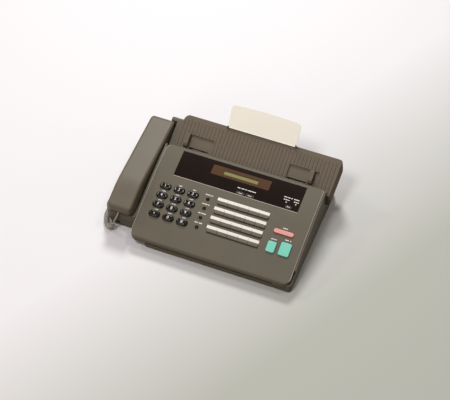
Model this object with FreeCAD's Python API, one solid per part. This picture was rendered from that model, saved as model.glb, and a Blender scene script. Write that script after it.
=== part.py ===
import FreeCAD, Part
import math
import os

# Fax machine with a handset rest at its left and a document tray at its back.
# Millimetres. X runs to the right, Y to the back and Z up from the table.
# The layout starts at the front right corner of the case, and every piece is
# moved at the end so that the middle of the footprint is the origin.

V = FreeCAD.Vector
X_AXIS = V(1, 0, 0)
Y_AXIS = V(0, 1, 0)
Z_AXIS = V(0, 0, 1)
ORIGIN = V(0, 0, 0)
FAR = 900.0

# Clearances
side_gap = 0.4
key_gap = 0.35
seat_gap = 0.3
running_gap = 0.05

# Lower case
case_wall = 2.5
floor_wall = 2.5
foot_height = 3.0
foot_radius = 7.0
foot_inset = 20.0
main_width = 260.5
case_depth = 228.0
overall_left = 341.0
rest_setback = 24.0
exit_rim = 12.0
rest_draft = 2.6
rest_parting = 22.0
right_step = 23.0
right_rear_rim = 35.0
back_rim = 41.4
rim_below_panel = 1.5
trim_reach = 20.0
corner_front = 6.0
corner_back = 10.0
corner_rest = 14.0
corner_inner = 4.0

# Operation panel: an arc from front to back
panel_width = 281.7
panel_overhang = 3.3
tray_run = 60.2
panel_front = -panel_overhang
panel_back = case_depth - tray_run
panel_depth = panel_back - panel_front
panel_front_z = 25.1
panel_back_z = 72.9
panel_crown = 4.7
panel_thick = 8.0
panel_wall = 2.5
panel_corner_front = 13.0
panel_corner_left = 11.0
panel_corner_right = 6.0
panel_front_round = 6.0
panel_edge_round = 1.2
underside_wall = 1.6
underside_ribs = 4
panel_pin_radius = 2.2
panel_pin_length = 1.8
panel_pin_inset = 5.0
panel_pin_depth = 6.6
lip_cut = 19.0
exit_left = 255.0
exit_right = 32.0
sheet_front = 5.0

# Display film, window and display
film_left = 253.0
film_right = 31.5
film_back = panel_back - 4.8
film_front = film_back - 47.7
film_thick = 0.8
window_left = 195.0
window_right = 91.0
window_back = film_back - 7.5
window_front = window_back - 18.0
window_deep = 5.0
glass_left = 173.5
glass_right = 112.3
glass_back = window_back - 6.2
glass_front = glass_back - 7.0
glass_deep = 1.4

# Keys
key_travel = 1.0
key_flange = 0.8
key_flange_lip = 1.1
dial_x = 257.1
dial_y = film_front - 23.6
dial_pitch_x = 24.7
dial_pitch_y = 16.65
dial_width = 20.0
dial_depth = 11.0
dial_height = 3.0
dial_round = 2.2
function_x = 181.2
function_radius = 2.8
function_height = 1.8
row_left = 163.5
row_right = 72.7
row_depth = 5.0
row_height = 2.2
row_y = film_front - 23.9
row_pitch = 16.6
row_keys = 5
row_split = 0.6
label_left = 165.5
label_right = 73.5
label_depth = 5.6
label_thick = 0.8
label_behind = 6.6
stop_left = 57.8
stop_right = 22.9
stop_y = film_front - 40.1
stop_depth = 7.6
copy_left = 59.4
copy_right = 44.4
copy_back = film_front - 58.6
copy_front = copy_back - 19.3
start_left = 38.0
start_right = 19.5
start_back = film_front - 54.3
start_front = start_back - 23.5
command_height = 2.6
command_round = 2.6
board_back = film_front - 15.3
board_front = board_back - 66.0
board_margin = 12.0
board_thick = 1.0
board_depth = 5.25

# Document tray, which is the cover of the paper compartment
tray_gap = 0.7
tray_front_z = 59.8
tray_angle = 26.9
tray_left = 276.0
tray_skin = 3.4
tray_wall = 2.5
tray_corner = 12.0
tray_back_round = 1.5
wing_bottom = 36.0
wing_front = 5.2
wing_back = 8.0
wing_flare = 4.0
wing_drop = 14.5
wing_foot = 5.0
tray_back_bottom = 44.5
rib_count = 44
rib_right = 0.4
rib_pitch = 6.35
rib_width = 3.0
rib_height = 0.8
rib_start = 2.5
rib_back = 9.7
lid_axis_y = case_depth - 7.0
lid_axis_z = 48.5
lid_pin_radius = 2.0
lid_ear_radius = 3.8
lid_ear_width = 4.0
lid_ear_left = 8.5
lid_ear_right = 8.0

# Document guides with rack and pinion
recess_depth = 2.2
recess_front = 9.0
recess_back = 34.0
left_recess_outer = 262.0
left_recess_inner = 210.9
right_recess_outer = 22.0
right_recess_inner = 74.8
fin_thick = 6.8
fin_height = 10.0
fin_left = 260.0
fin_right = 29.4
guide_travel = 34.0
arm_thick = 2.4
arm_width = 8.0
slot_gap = 0.5
rack_thick = 3.2
rack_body = 3.6
pinion_x = 144.5
pinion_along = 25.0
pinion_teeth = 16
tooth_module = 1.0

# Document support plate
plate_left = 198.7
plate_right = 73.4
plate_margin = 0.9
plate_length = 42.0
plate_shoulder = 4.6
plate_thick = 1.5
plate_corner = 8.0
plate_lean = 52.0
plate_inset = 2.5
plate_axis_height = 2.2
plate_pin_radius = 1.0
plate_boss = 3.0
plate_boss_half = 2.0

# Chassis
chassis_left = 258.0
chassis_right = 26.0
chassis_wall = 3.0
chassis_front = 31.0
guide_depth = 12.6
guide_sheet = 2.4
guide_end = panel_back - 7.8
wall_depth = 9.2
wall_step = 20.0
wall_rear_top = 52.5
compartment_top = 55.0
roll_radius = 22.0
roll_core_radius = 8.0
roll_y = case_depth - 28.5
roll_z = 31.0
roll_width = 216.0
trough_wall = 2.5

# Drive
feed_surface_y = panel_back - 24.3
feed_proud = 0.8
feed_radius = 10.0
feed_ring_width = 22.0
feed_ring_spread = 20.0
feed_shaft_radius = 3.0
feed_teeth = 24
platen_teeth = 20
motor_teeth = 12
platen_angle = -39.6
motor_angle = 225.6
platen_radius = 7.0
platen_shaft_radius = 2.5
gear_offset = 2.0
gear_width = 6.0
motor_radius = 13.0
motor_length = 20.0
motor_shaft_radius = 1.5
bearing_reach = 2.0

# Sensor, head, pad and boards
sensor_y = panel_back - 63.8
sensor_width = 16.0
sensor_height = 12.0
head_height = 14.0
head_depth = 7.5
pad_width = 60.0
pad_length = 14.0
main_board_left = 182.0
main_board_right = 62.0
main_board_back = panel_back - 29.8
main_board_front = main_board_back - 92.0
supply_left = 254.0
supply_right = 190.0
supply_back = panel_back - 39.8
supply_front = supply_back - 68.0
standoff_height = 4.0
standoff_radius = 3.0
pcb_thick = 1.6
chip_height = 3.5
memory_height = 4.2
comb_height = 7.0
coil_height = 16.0
can_height = 14.0
sink_height = 11.0
speaker_radius = 21.0
speaker_height = 13.0
speaker_y = panel_back - 47.8
socket_width = 14.0
socket_height = 13.0
socket_deep = 15.0
socket_mouth_width = 8.2
socket_mouth_height = 6.2
socket_z = 14.0
socket_handset_y = case_depth - 32.0
socket_line_x = 325.0
socket_phone_x = 305.0
inlet_width = 20.0
inlet_height = 14.0
inlet_deep = 18.0
inlet_x = 280.0
inlet_z = 14.0

# Handset rest
rest_wall = 2.5
rest_deck_front = 39.0
rest_deck_slope = 0.04
rest_deck_thick = 5.0
rest_right_wall = 3.5
well_depth = 2.2
well_gap = 2.6
band_drop = 8.0
block_drop = 12.5
block_round = 5.0
block_left = 299.4
block_front = case_depth - 9.5
lid_side_gap = 1.3
port_x = 318.0
port_z = 10.5
port_radius = 4.0
hook_width = 9.0
hook_length = 14.0
hook_reach = 16.0
hook_travel = 4.0

# Handset
handset_left = 333.5
handset_right = 290.5
handset_front = 19.0
handset_back_y = case_depth - 12.0
handset_round = 5.0
handset_corner = 8.0
handset_front_low = 47.0
handset_front_top = 60.0
handset_shoulder_y = 62.0
handset_shoulder_z = 73.5
handset_back_top = 80.5
handset_back_low = 60.0
mouth_front = 29.0
mouth_back = 62.0
ear_back = case_depth - 21.0
ear_front = ear_back - 41.0
hook_y = ear_front + 12.0
grip_front = 78.0
grip_back = ear_front - 12.0
grip_front_z = 55.0
grip_back_z = 59.0
handset_part_front = 52.0
handset_part_back = 66.0
capsule_recess = 1.0
capsule_radius = 13.0

# Curly handset cord
wire_radius = 1.3
curl_radius = 3.5
curl_pitch = 3.5
cord_floor_gap = 0.4
cord_wall_gap = 0.6
cord_turn_radius = 9.0
cord_end_y = case_depth - 60.0
plug_width = 7.6
plug_height = 5.6
plug_inside = 9.0
plug_outside = 3.0


def box(x0, x1, y0, y1, z0, z1):
    return Part.makeBox(x1 - x0, y1 - y0, z1 - z0, V(x0, y0, z0))


def rounded_wire(points, radii):
    """Closed wire through corner points, each corner rounded by its own radius."""
    count = len(points)
    edges = []
    starts = []
    ends = []
    arcs = []
    for i in range(count):
        corner = points[i]
        back = (points[i - 1] - corner).normalize()
        ahead = (points[(i + 1) % count] - corner).normalize()
        half = 0.5 * back.getAngle(ahead)
        radius = radii[i]
        if radius <= 0:
            starts.append(corner)
            ends.append(corner)
            arcs.append(None)
            continue
        reach = radius / math.tan(half)
        middle = (back + ahead).normalize()
        centre = corner + middle * (radius / math.sin(half))
        starts.append(corner + back * reach)
        ends.append(corner + ahead * reach)
        arcs.append(centre - middle * radius)
    for i in range(count):
        if arcs[i] is not None:
            edges.append(Part.Arc(starts[i], arcs[i], ends[i]).toShape())
        nxt = starts[(i + 1) % count]
        if ends[i].distanceToPoint(nxt) > 1e-6:
            edges.append(Part.LineSegment(ends[i], nxt).toShape())
    return Part.Wire(edges)


def plan_prism(corners, radii, z0, z1):
    """Upright prism on a rounded plan outline given as (x, y) corners."""
    wire = rounded_wire([V(x, y, z0) for x, y in corners], radii)
    return Part.Face(wire).extrude(V(0, 0, z1 - z0))


def rounded_box(x0, x1, y0, y1, z0, z1, radius):
    return plan_prism([(x0, y0), (x1, y0), (x1, y1), (x0, y1)], [radius] * 4, z0, z1)


def side_prism(x0, x1, corners, radii=None):
    """Prism along X on a side outline given as (y, z) corners."""
    points = [V(x0, y, z) for y, z in corners]
    wire = rounded_wire(points, radii or [0] * len(points))
    return Part.Face(wire).extrude(V(x1 - x0, 0, 0))


def rod_x(x0, x1, y, z, radius):
    return Part.makeCylinder(radius, x1 - x0, V(x0, y, z), X_AXIS)


def stadium(width, depth, z0, z1):
    """Oval block centred on the local origin."""
    radius = 0.5 * depth - 0.001
    return rounded_box(-0.5 * width, 0.5 * width, -0.5 * depth, 0.5 * depth, z0, z1, radius)


def round_top(shape, z_top, radius):
    edges = [e for e in shape.Edges if all(abs(v.Z - z_top) < 1e-4 for v in e.Vertexes)]
    return shape.makeFillet(radius, edges)


# The panel arc: chord from the front edge to the back edge, raised by its crown.
panel_right = -(case_wall + side_gap)
panel_left = panel_right - panel_width
chord_y = panel_depth
chord_z = panel_back_z - panel_front_z
chord = math.hypot(chord_y, chord_z)
arc_radius = chord * chord / (8 * panel_crown) + 0.5 * panel_crown
arc_y = 0.5 * (panel_front + panel_back) + chord_z / chord * (arc_radius - panel_crown)
arc_z = 0.5 * (panel_front_z + panel_back_z) - chord_y / chord * (arc_radius - panel_crown)


def panel_z(y, depth=0.0):
    """Height of the panel arc, or of the arc that lies deeper by depth."""
    radius = arc_radius - depth
    return arc_z + math.sqrt(radius * radius - (y - arc_y) ** 2)


def panel_angle(y):
    return math.degrees(math.asin((arc_y - y) / arc_radius))


def panel_inside(y, depth):
    """Point under the panel surface at y, straight down its normal."""
    angle = math.radians(panel_angle(y))
    return y + depth * math.sin(angle), panel_z(y) - depth * math.cos(angle)


def panel_layer(x0, x1, y0, y1, d0, d1):
    """Block between two depths under the panel arc."""
    middle = 0.5 * (y0 + y1)
    top = Part.Arc(V(x0, y0, panel_z(y0, d0)), V(x0, middle, panel_z(middle, d0)),
                   V(x0, y1, panel_z(y1, d0))).toShape()
    low = Part.Arc(V(x0, y1, panel_z(y1, d1)), V(x0, middle, panel_z(middle, d1)),
                   V(x0, y0, panel_z(y0, d1))).toShape()
    back = Part.LineSegment(V(x0, y1, panel_z(y1, d0)), V(x0, y1, panel_z(y1, d1))).toShape()
    front = Part.LineSegment(V(x0, y0, panel_z(y0, d1)), V(x0, y0, panel_z(y0, d0))).toShape()
    return Part.Face(Part.Wire([top, back, low, front])).extrude(V(x1 - x0, 0, 0))


def on_panel(shape, x, y):
    """Place a shape built around the local origin on the panel surface."""
    placed = shape.copy()
    placed.rotate(ORIGIN, X_AXIS, panel_angle(y))
    placed.translate(V(x, y, panel_z(y)))
    return placed


# The tray plane starts behind the panel and rises to the back.
tray_front = panel_back + tray_gap
tray_rise = math.radians(tray_angle)
tray_length = (case_depth - tray_front) / math.cos(tray_rise)
tray_back_z = tray_front_z + tray_length * math.sin(tray_rise)
rib_end = tray_length - rib_back
plate_along = tray_length - plate_inset
wing_reach = wing_back + wing_flare


def tray_z(y):
    return tray_front_z + (y - tray_front) * math.tan(tray_rise)


def on_tray(shape):
    """Place a shape built with Y along the tray and Z off its surface."""
    placed = shape.copy()
    placed.rotate(ORIGIN, X_AXIS, tray_angle)
    placed.translate(V(0, tray_front, tray_front_z))
    return placed


def tray_point(along, off):
    return (tray_front + along * math.cos(tray_rise) - off * math.sin(tray_rise),
            tray_front_z + along * math.sin(tray_rise) + off * math.cos(tray_rise))


# Hinge axes
panel_pin_y, panel_pin_z = panel_inside(panel_back - panel_pin_inset, panel_pin_depth - 0.5)
plate_axis_y, plate_axis_z = tray_point(plate_along, plate_axis_height)

# Drive axes
feed_y, feed_z = panel_inside(feed_surface_y, guide_depth - feed_proud + feed_radius)
feed_pitch = 0.5 * tooth_module * feed_teeth
platen_pitch = 0.5 * tooth_module * platen_teeth
motor_pitch = 0.5 * tooth_module * motor_teeth
platen_y = feed_y + (feed_pitch + platen_pitch) * math.cos(math.radians(platen_angle))
platen_z = feed_z + (feed_pitch + platen_pitch) * math.sin(math.radians(platen_angle))
motor_y = feed_y + (feed_pitch + motor_pitch) * math.cos(math.radians(motor_angle))
motor_z = feed_z + (feed_pitch + motor_pitch) * math.sin(math.radians(motor_angle))
floor_top = foot_height + floor_wall
inner_left = -chassis_left + chassis_wall
inner_right = -chassis_right - chassis_wall


def case_outline(draft, w, z):
    """Outline of the lower case; the rest part is drawn in by its draft, all sides by a wall."""
    left = -overall_left + draft + w
    corners = [(-w, w), (-w, case_depth - w), (left, case_depth - w), (left, rest_setback + draft + w),
               (w - main_width, rest_setback + draft + w), (w - main_width, w)]
    radii = [corner_front - w, corner_back - w, corner_rest - w, corner_rest - w,
             corner_inner + w, corner_front - w]
    return rounded_wire([V(x, y, z) for x, y in corners], radii)


def case_block(w, z0, z1):
    """Case block: drafted up to the parting line of the rest, upright above it."""
    share = (rest_parting - z0) / (rest_parting - foot_height)
    low = Part.makeLoft([case_outline(rest_draft * share, w, z0), case_outline(0, w, rest_parting)], True, True)
    high = Part.Face(case_outline(0, w, rest_parting)).extrude(V(0, 0, z1 - rest_parting))
    return low.fuse(high)


def rest_rear_x():
    """Right end of the rest cover beside the tray."""
    return -tray_left - lid_side_gap


def lid_ear_x():
    """Inner ends of the two lid hinge ears, left and right."""
    return -tray_left + tray_wall + lid_ear_left, -lid_ear_right


def socket_places():
    """Modular sockets: handset on the left wall, line and phone on the back wall."""
    back = case_depth
    return [((-overall_left + socket_inset(), socket_handset_y), 90.0), ((-socket_line_x, back), 0.0),
            ((-socket_phone_x, back), 0.0)]


def socket_inset():
    """The drafted wall lies further in at the top of the socket."""
    return rest_draft * (rest_parting - socket_z + 0.5 * socket_height) / (rest_parting - foot_height)


def place_socket(shape, spot, turn):
    placed = shape.copy()
    placed.rotate(ORIGIN, Z_AXIS, turn)
    placed.translate(V(spot[0], spot[1], socket_z))
    return placed


def board_standoffs(x0, x1, y0, y1):
    inset = standoff_radius + 1.0
    pegs = []
    for x in (x0 + inset, x1 - inset):
        for y in (y0 + inset, y1 - inset):
            pegs.append(Part.makeCylinder(standoff_radius, standoff_height, V(x, y, floor_top)))
    return pegs


def lower_case():
    top = panel_back_z
    tub = case_block(0, foot_height, top).cut(case_block(case_wall, floor_top, top + 1))
    # Trim the rim: low at the front, stepped up beside the panel, low under the tray.
    out = trim_reach
    cuts = [panel_layer(-main_width - out, out, -out, right_step, -FAR / 12, panel_thick + side_gap),
            box(-FAR, -case_wall - 0.5, -out, case_depth - corner_rest, rest_parting, FAR)
            .cut(box(-main_width - out, 0, -1.5 * out, right_step, 0, FAR)),
            box(-FAR, rest_rear_x(), -out, FAR, rest_parting, FAR),
            panel_layer(-out, out, right_step - 1, panel_back, -FAR / 12, rim_below_panel),
            box(-case_wall - 0.5, out, panel_back, FAR, right_rear_rim, FAR),
            box(-FAR, out, case_depth - corner_rest - 1, FAR, back_rim, FAR),
            box(-corner_back, out, case_depth - corner_rest - 1, FAR, back_rim - 1.6, FAR),
            box(-exit_left, -exit_right, -out, right_step - 1, exit_rim, FAR)]
    for cut in cuts:
        tub = tub.cut(cut)
    adds = board_standoffs(-main_board_left, -main_board_right, main_board_front, main_board_back)
    adds += board_standoffs(-supply_left, -supply_right, supply_front, supply_back)
    # Hinge ears of the tray cover rise from the back wall.
    stem_back = case_depth - case_wall + 0.5
    for x, side in zip(lid_ear_x(), (-1, 1)):
        stem = box(x - lid_ear_width * (side > 0) , x + lid_ear_width * (side < 0),
                   lid_axis_y - lid_ear_radius, lid_axis_y + lid_ear_radius, floor_top - 1, lid_axis_z)
        foot = box(x - lid_ear_width * (side > 0), x + lid_ear_width * (side < 0),
                   lid_axis_y, stem_back, floor_top - 1, back_rim - 4)
        x0 = x - lid_ear_width * (side > 0)
        eye = rod_x(x0, x0 + lid_ear_width, lid_axis_y, lid_axis_z, lid_ear_radius)
        x1 = x0 - lid_ear_width if side < 0 else x0 + lid_ear_width
        pin = rod_x(x1, x1 + lid_ear_width, lid_axis_y, lid_axis_z, lid_pin_radius)
        adds += [stem, foot, eye, pin]
    tub = tub.fuse(adds)
    # Blind bore of the panel hinge in the right wall.
    tub = tub.cut(rod_x(-case_wall - 1, -case_wall + panel_pin_length, panel_pin_y, panel_pin_z,
                        panel_pin_radius + running_gap))
    # Openings for the sockets, the inlet and the round port in the front of the rest.
    for spot, turn in socket_places():
        hole = box(-0.5 * socket_width, 0.5 * socket_width, -socket_deep, 5,
                   -0.5 * socket_height, 0.5 * socket_height)
        tub = tub.cut(place_socket(hole, spot, turn))
    tub = tub.cut(box(-inlet_x - 0.5 * inlet_width, -inlet_x + 0.5 * inlet_width, case_depth - 8, FAR,
                      inlet_z - 0.5 * inlet_height, inlet_z + 0.5 * inlet_height))
    tub = tub.cut(Part.makeCylinder(port_radius, 3 * case_wall, V(-port_x, rest_setback - 1, port_z), Y_AXIS))
    # Ventilation slots under the supply and sound slots under the speaker.
    slots = []
    for i in range(8):
        x = -supply_left + 6 + 7 * i
        slots.append(rounded_box(x, x + 3, supply_front + 12, supply_back - 12, 0, floor_top + 1, 1.4))
    for i in range(5):
        y = speaker_y - 14 + 7 * i
        reach = math.sqrt((speaker_radius - 4) ** 2 - (y - speaker_y) ** 2)
        x = speaker_x()
        slots.append(rounded_box(x - reach, x + reach, y - 1.5, y + 1.5, 0, floor_top + 1, 1.4))
    return tub.cut(Part.makeCompound(slots))


def speaker_x():
    return -0.5 * (overall_left + main_width) - 4.0


def foot_places():
    i = foot_inset
    return [(-i, i), (-i, case_depth - i), (i - main_width, i), (i - overall_left, rest_setback + i),
            (i - overall_left, case_depth - i), (-0.5 * main_width, case_depth - i)]


def feet():
    rims = []
    for x, y in foot_places():
        foot = Part.makeCone(foot_radius - 0.8, foot_radius, foot_height, V(x, y, 0))
        rims.append(foot)
    return Part.makeCompound(rims)


def panel_body():
    """Outer block of the panel cover with its rolled front edge and round corners."""
    block = panel_layer(panel_left, panel_right, panel_front, panel_back, 0, panel_thick)
    front = [e for e in block.Edges
             if all(abs(v.Y - panel_front) < 1e-4 and abs(v.Z - panel_front_z) < 1e-3 for v in e.Vertexes)]
    block = block.makeFillet(panel_front_round, front)
    return block.common(panel_plan(0))


def panel_plan(w):
    """Plan of the panel, drawn in by a wall; its back corners are tighter than the front ones."""
    x0, x1, y0, y1 = panel_left + w, panel_right - w, panel_front + w, panel_back - w
    return plan_prism([(x0, y0), (x1, y0), (x1, y1), (x0, y1)],
                      [panel_corner_front - w, panel_corner_front - w, panel_corner_right - w,
                       panel_corner_left - w], -1, FAR / 4)


def dial_places():
    spots = []
    for row in range(4):
        for column in range(3):
            spots.append((-dial_x + column * dial_pitch_x, dial_y - row * dial_pitch_y))
    return spots


def function_places():
    return [(-function_x, dial_y - row * dial_pitch_y) for row in range(4)]


def row_places():
    return [(-0.5 * (row_left + row_right), row_y - row * row_pitch) for row in range(4)]


def label_places():
    return [(-0.5 * (label_left + label_right), y + label_behind) for _, y in row_places()]


def command_places():
    """Stop, copy and start keys as (x, y, width, depth, corner)."""
    return [(-0.5 * (stop_left + stop_right), stop_y, stop_left - stop_right, stop_depth,
             0.5 * stop_depth - 0.01),
            (-0.5 * (copy_left + copy_right), 0.5 * (copy_front + copy_back),
             copy_left - copy_right, copy_back - copy_front, command_round),
            (-0.5 * (start_left + start_right), 0.5 * (start_front + start_back),
             start_left - start_right, start_back - start_front, command_round)]


def hole_block(width, depth, corner):
    gap = key_gap
    return rounded_box(-0.5 * width - gap, 0.5 * width + gap, -0.5 * depth - gap, 0.5 * depth + gap,
                       -panel_wall - 3, 4, corner + gap)


def key_block(width, depth, corner, height, rounding):
    """Key cap with a rounded top and a flange that holds it under the cover."""
    cap = rounded_box(-0.5 * width, 0.5 * width, -0.5 * depth, 0.5 * depth,
                      -panel_wall - seat_gap - key_flange, height, corner)
    cap = round_top(cap, height, rounding)
    lip = key_gap + key_flange_lip
    flange = rounded_box(-0.5 * width - lip, 0.5 * width + lip, -0.5 * depth - lip, 0.5 * depth + lip,
                         -panel_wall - seat_gap - key_flange, -panel_wall - seat_gap, corner + lip)
    return cap.fuse(flange).removeSplitter()


def panel_cover():
    cover = panel_body()
    w = panel_wall
    hollow = panel_layer(panel_left + w, panel_right - w, panel_front + w, panel_back - w, w, 40)
    cover = cover.cut(hollow.common(panel_plan(w)))
    # The lip is shorter where documents leave.
    cover = cover.cut(box(-exit_left, -exit_right, panel_front - 1, panel_front + w + 1,
                          -1, lip_cut))
    film = panel_layer(-film_left, -film_right, film_front, film_back, -5, film_thick)
    window = panel_layer(-window_left, -window_right, window_front, window_back, -5, 20)
    holes = [film, window]
    pill = hole_block(dial_width, dial_depth, 0.5 * dial_depth - 0.01)
    holes += [on_panel(pill, x, y) for x, y in dial_places()]
    dot = Part.makeCylinder(function_radius + key_gap, panel_wall + 8, V(0, 0, -panel_wall - 4))
    holes += [on_panel(dot, x, y) for x, y in function_places()]
    bar = hole_block(row_left - row_right, row_depth, 0.5 * row_depth - 0.01)
    holes += [on_panel(bar, x, y) for x, y in row_places()]
    for x, y in label_places():
        strip = box(-0.5 * (label_left - label_right), 0.5 * (label_left - label_right),
                    -0.5 * label_depth, 0.5 * label_depth, -label_thick, 4)
        holes.append(on_panel(strip, x, y))
    for x, y, width, depth, corner in command_places():
        holes.append(on_panel(hole_block(width, depth, corner), x, y))
    cover = cover.cut(Part.makeCompound(holes))
    # Hinge pins stand out of both side walls near the back edge.
    pins = [rod_x(panel_right - w, panel_right + panel_pin_length, panel_pin_y, panel_pin_z, panel_pin_radius),
            rod_x(panel_left - panel_pin_length, panel_left + w, panel_pin_y, panel_pin_z, panel_pin_radius)]
    return cover.fuse(pins)


def panel_underside():
    """Plate that closes the panel from below and guides the document from above."""
    w = panel_wall
    x0, x1 = panel_left + w, panel_right - w
    y0, y1 = panel_front + w, panel_back - w
    plate = panel_layer(x0, x1, y0, y1, panel_thick - underside_wall, panel_thick)
    plate = plate.common(panel_plan(w))
    ribs = []
    for i in range(underside_ribs):
        x = x0 + (i + 1) * panel_width / (underside_ribs + 1)
        ribs.append(panel_layer(x - 1, x + 1, board_back + 4, window_front - 4,
                                panel_wall + 0.6, panel_thick - underside_wall + 0.2))
    # Posts carry the key board.
    for x in (x0 + board_margin, x1 - board_margin):
        for y in (board_front + 5, board_back - 5):
            spot_y, spot_z = panel_inside(y, panel_thick - 0.5 * underside_wall)
            post = Part.makeCylinder(2.0, 40, V(0, 0, 0))
            post.rotate(ORIGIN, X_AXIS, board_angle())
            post.translate(V(x, spot_y, spot_z))
            ribs.append(post.cut(board_space()))
    return plate.fuse(ribs)


def board_angle():
    return panel_angle(0.5 * (board_front + board_back))


def board_frame(shape):
    """Place a shape built around the local origin at the middle of the key board."""
    middle = 0.5 * (board_front + board_back)
    return on_panel(shape, 0.5 * (panel_left + panel_right), middle)


def board_size():
    width = panel_width - 2 * panel_wall - 2 * board_margin + 8
    return width, board_back - board_front


def board_space():
    """Everything above the lower face of the key board."""
    width, depth = board_size()
    return board_frame(box(-width, width, -depth, depth, -board_depth - board_thick, 60))


def panel_board():
    width, depth = board_size()
    plate = rounded_box(-0.5 * width, 0.5 * width, -0.5 * depth, 0.5 * depth,
                        -board_depth - board_thick, -board_depth, 2)
    return board_frame(plate)


def display_film():
    gap = 0.1
    film = panel_layer(-film_left + gap, -film_right - gap, film_front + gap, film_back - gap, 0, film_thick)
    window = panel_layer(-window_left, -window_right, window_front, window_back, -5, 20)
    return film.cut(window)


def lcd_module():
    gap = 0.15
    x0, x1 = -window_left + gap, -window_right - gap
    y0, y1 = window_front + gap, window_back - gap
    lens = panel_layer(x0, x1, y0, y1, 0.2, panel_wall)
    # The frame of the display spreads under the cover.
    frame = panel_layer(x0 - 3, x1 + 3, y0 - 3, y1 + 3, panel_wall, window_deep)
    # The glass of the display lies sunk in the lens.
    pocket = panel_layer(-glass_left, -glass_right, glass_front, glass_back, -1, glass_deep)
    return lens.fuse(frame).removeSplitter().cut(pocket)


def label_strips():
    strips = []
    half = 0.5 * (label_left - label_right) - 0.1
    for x, y in label_places():
        strip = box(-half, half, -0.5 * label_depth + 0.1, 0.5 * label_depth - 0.1, -label_thick, 0)
        strips.append(on_panel(strip, x, y))
    return Part.makeCompound(strips)


def separator_pad():
    """Rubber pad over the feed rollers, held by the panel underside."""
    top = panel_thick + 0.04
    low = guide_depth - feed_proud - seat_gap
    pad = rounded_box(-0.5 * pad_width, 0.5 * pad_width, -0.5 * pad_length, 0.5 * pad_length, -low, -top, 2)
    return on_panel(pad, -pinion_x, feed_surface_y)


def dial_keys():
    names = ["1", "2", "3", "4", "5", "6", "7", "8", "9", "star", "0", "hash"]
    key = key_block(dial_width, dial_depth, 0.5 * dial_depth - 0.01, dial_height, dial_round)
    return {"dial_key_" + n: on_panel(key, x, y) for n, (x, y) in zip(names, dial_places())}


def function_keys():
    stem = Part.makeCylinder(function_radius, panel_wall + seat_gap + key_flange + function_height,
                             V(0, 0, -panel_wall - seat_gap - key_flange))
    stem = round_top(stem, function_height, 0.8)
    flange = Part.makeCylinder(function_radius + key_gap + key_flange_lip, key_flange,
                               V(0, 0, -panel_wall - seat_gap - key_flange))
    key = stem.fuse(flange).removeSplitter()
    return {"function_key_%d" % (i + 1): on_panel(key, x, y) for i, (x, y) in enumerate(function_places())}


def rapid_rows():
    """Each row of rapid keys: one bar with round ends, split into keys."""
    width = row_left - row_right
    bar = rounded_box(-0.5 * width, 0.5 * width, -0.5 * row_depth, 0.5 * row_depth,
                      -panel_wall - seat_gap - key_flange, row_height, 0.5 * row_depth - 0.01)
    bar = round_top(bar, row_height, 1.0)
    step = width / row_keys
    for i in range(1, row_keys):
        x = -0.5 * width + i * step
        bar = bar.cut(box(x - 0.5 * row_split, x + 0.5 * row_split, -row_depth, row_depth, -9, 9))
    return {"rapid_keys_row_%d" % (i + 1): on_panel(bar, x, y) for i, (x, y) in enumerate(row_places())}


def command_keys():
    keys = {}
    for name, (x, y, width, depth, corner) in zip(("stop_key", "copy_key", "start_key"), command_places()):
        keys[name] = on_panel(key_block(width, depth, corner, command_height, 1.2), x, y)
    return keys


def tray_ribs():
    ribs = []
    for i in range(rib_count):
        x = -rib_right - i * rib_pitch
        half = 0.5 * rib_width
        wire = Part.makePolygon([V(x - half, rib_start, -0.5), V(x - half, rib_start, 0),
                                 V(x - 0.5 * half, rib_start, rib_height),
                                 V(x + 0.5 * half, rib_start, rib_height),
                                 V(x + half, rib_start, 0), V(x + half, rib_start, -0.5),
                                 V(x - half, rib_start, -0.5)])
        ribs.append(Part.Face(wire).extrude(V(0, rib_end - rib_start, 0)))
    return ribs


def wing_section(y, w):
    """Cross-section of the flared skirt at the right of the tray, drawn in by a wall."""
    edge = wing_front + (wing_back - wing_front) * (y - tray_front) / (case_depth - tray_front) - w
    top = tray_z(y) - (tray_skin / math.cos(tray_rise) if w else 0)
    low = wing_bottom + w
    return Part.makePolygon([V(-tray_wall, y, low), V(-tray_wall, y, top), V(edge, y, top),
                             V(edge + wing_flare, y, tray_z(y) - wing_drop), V(wing_foot - w, y, low),
                             V(-tray_wall, y, low)])


def wing_block(w):
    return Part.makeLoft([wing_section(tray_front + w, w), wing_section(case_depth - w, w)], True, True)


def tray_plan(w):
    x0, x1, y0, y1 = -tray_left + w, wing_reach - w, tray_front + w, case_depth - w
    return plan_prism([(x0, y0), (x1, y0), (x1, y1), (x0, y1)],
                      [0.5, 0.5, tray_corner - w, tray_corner - w], 0, FAR)


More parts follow.
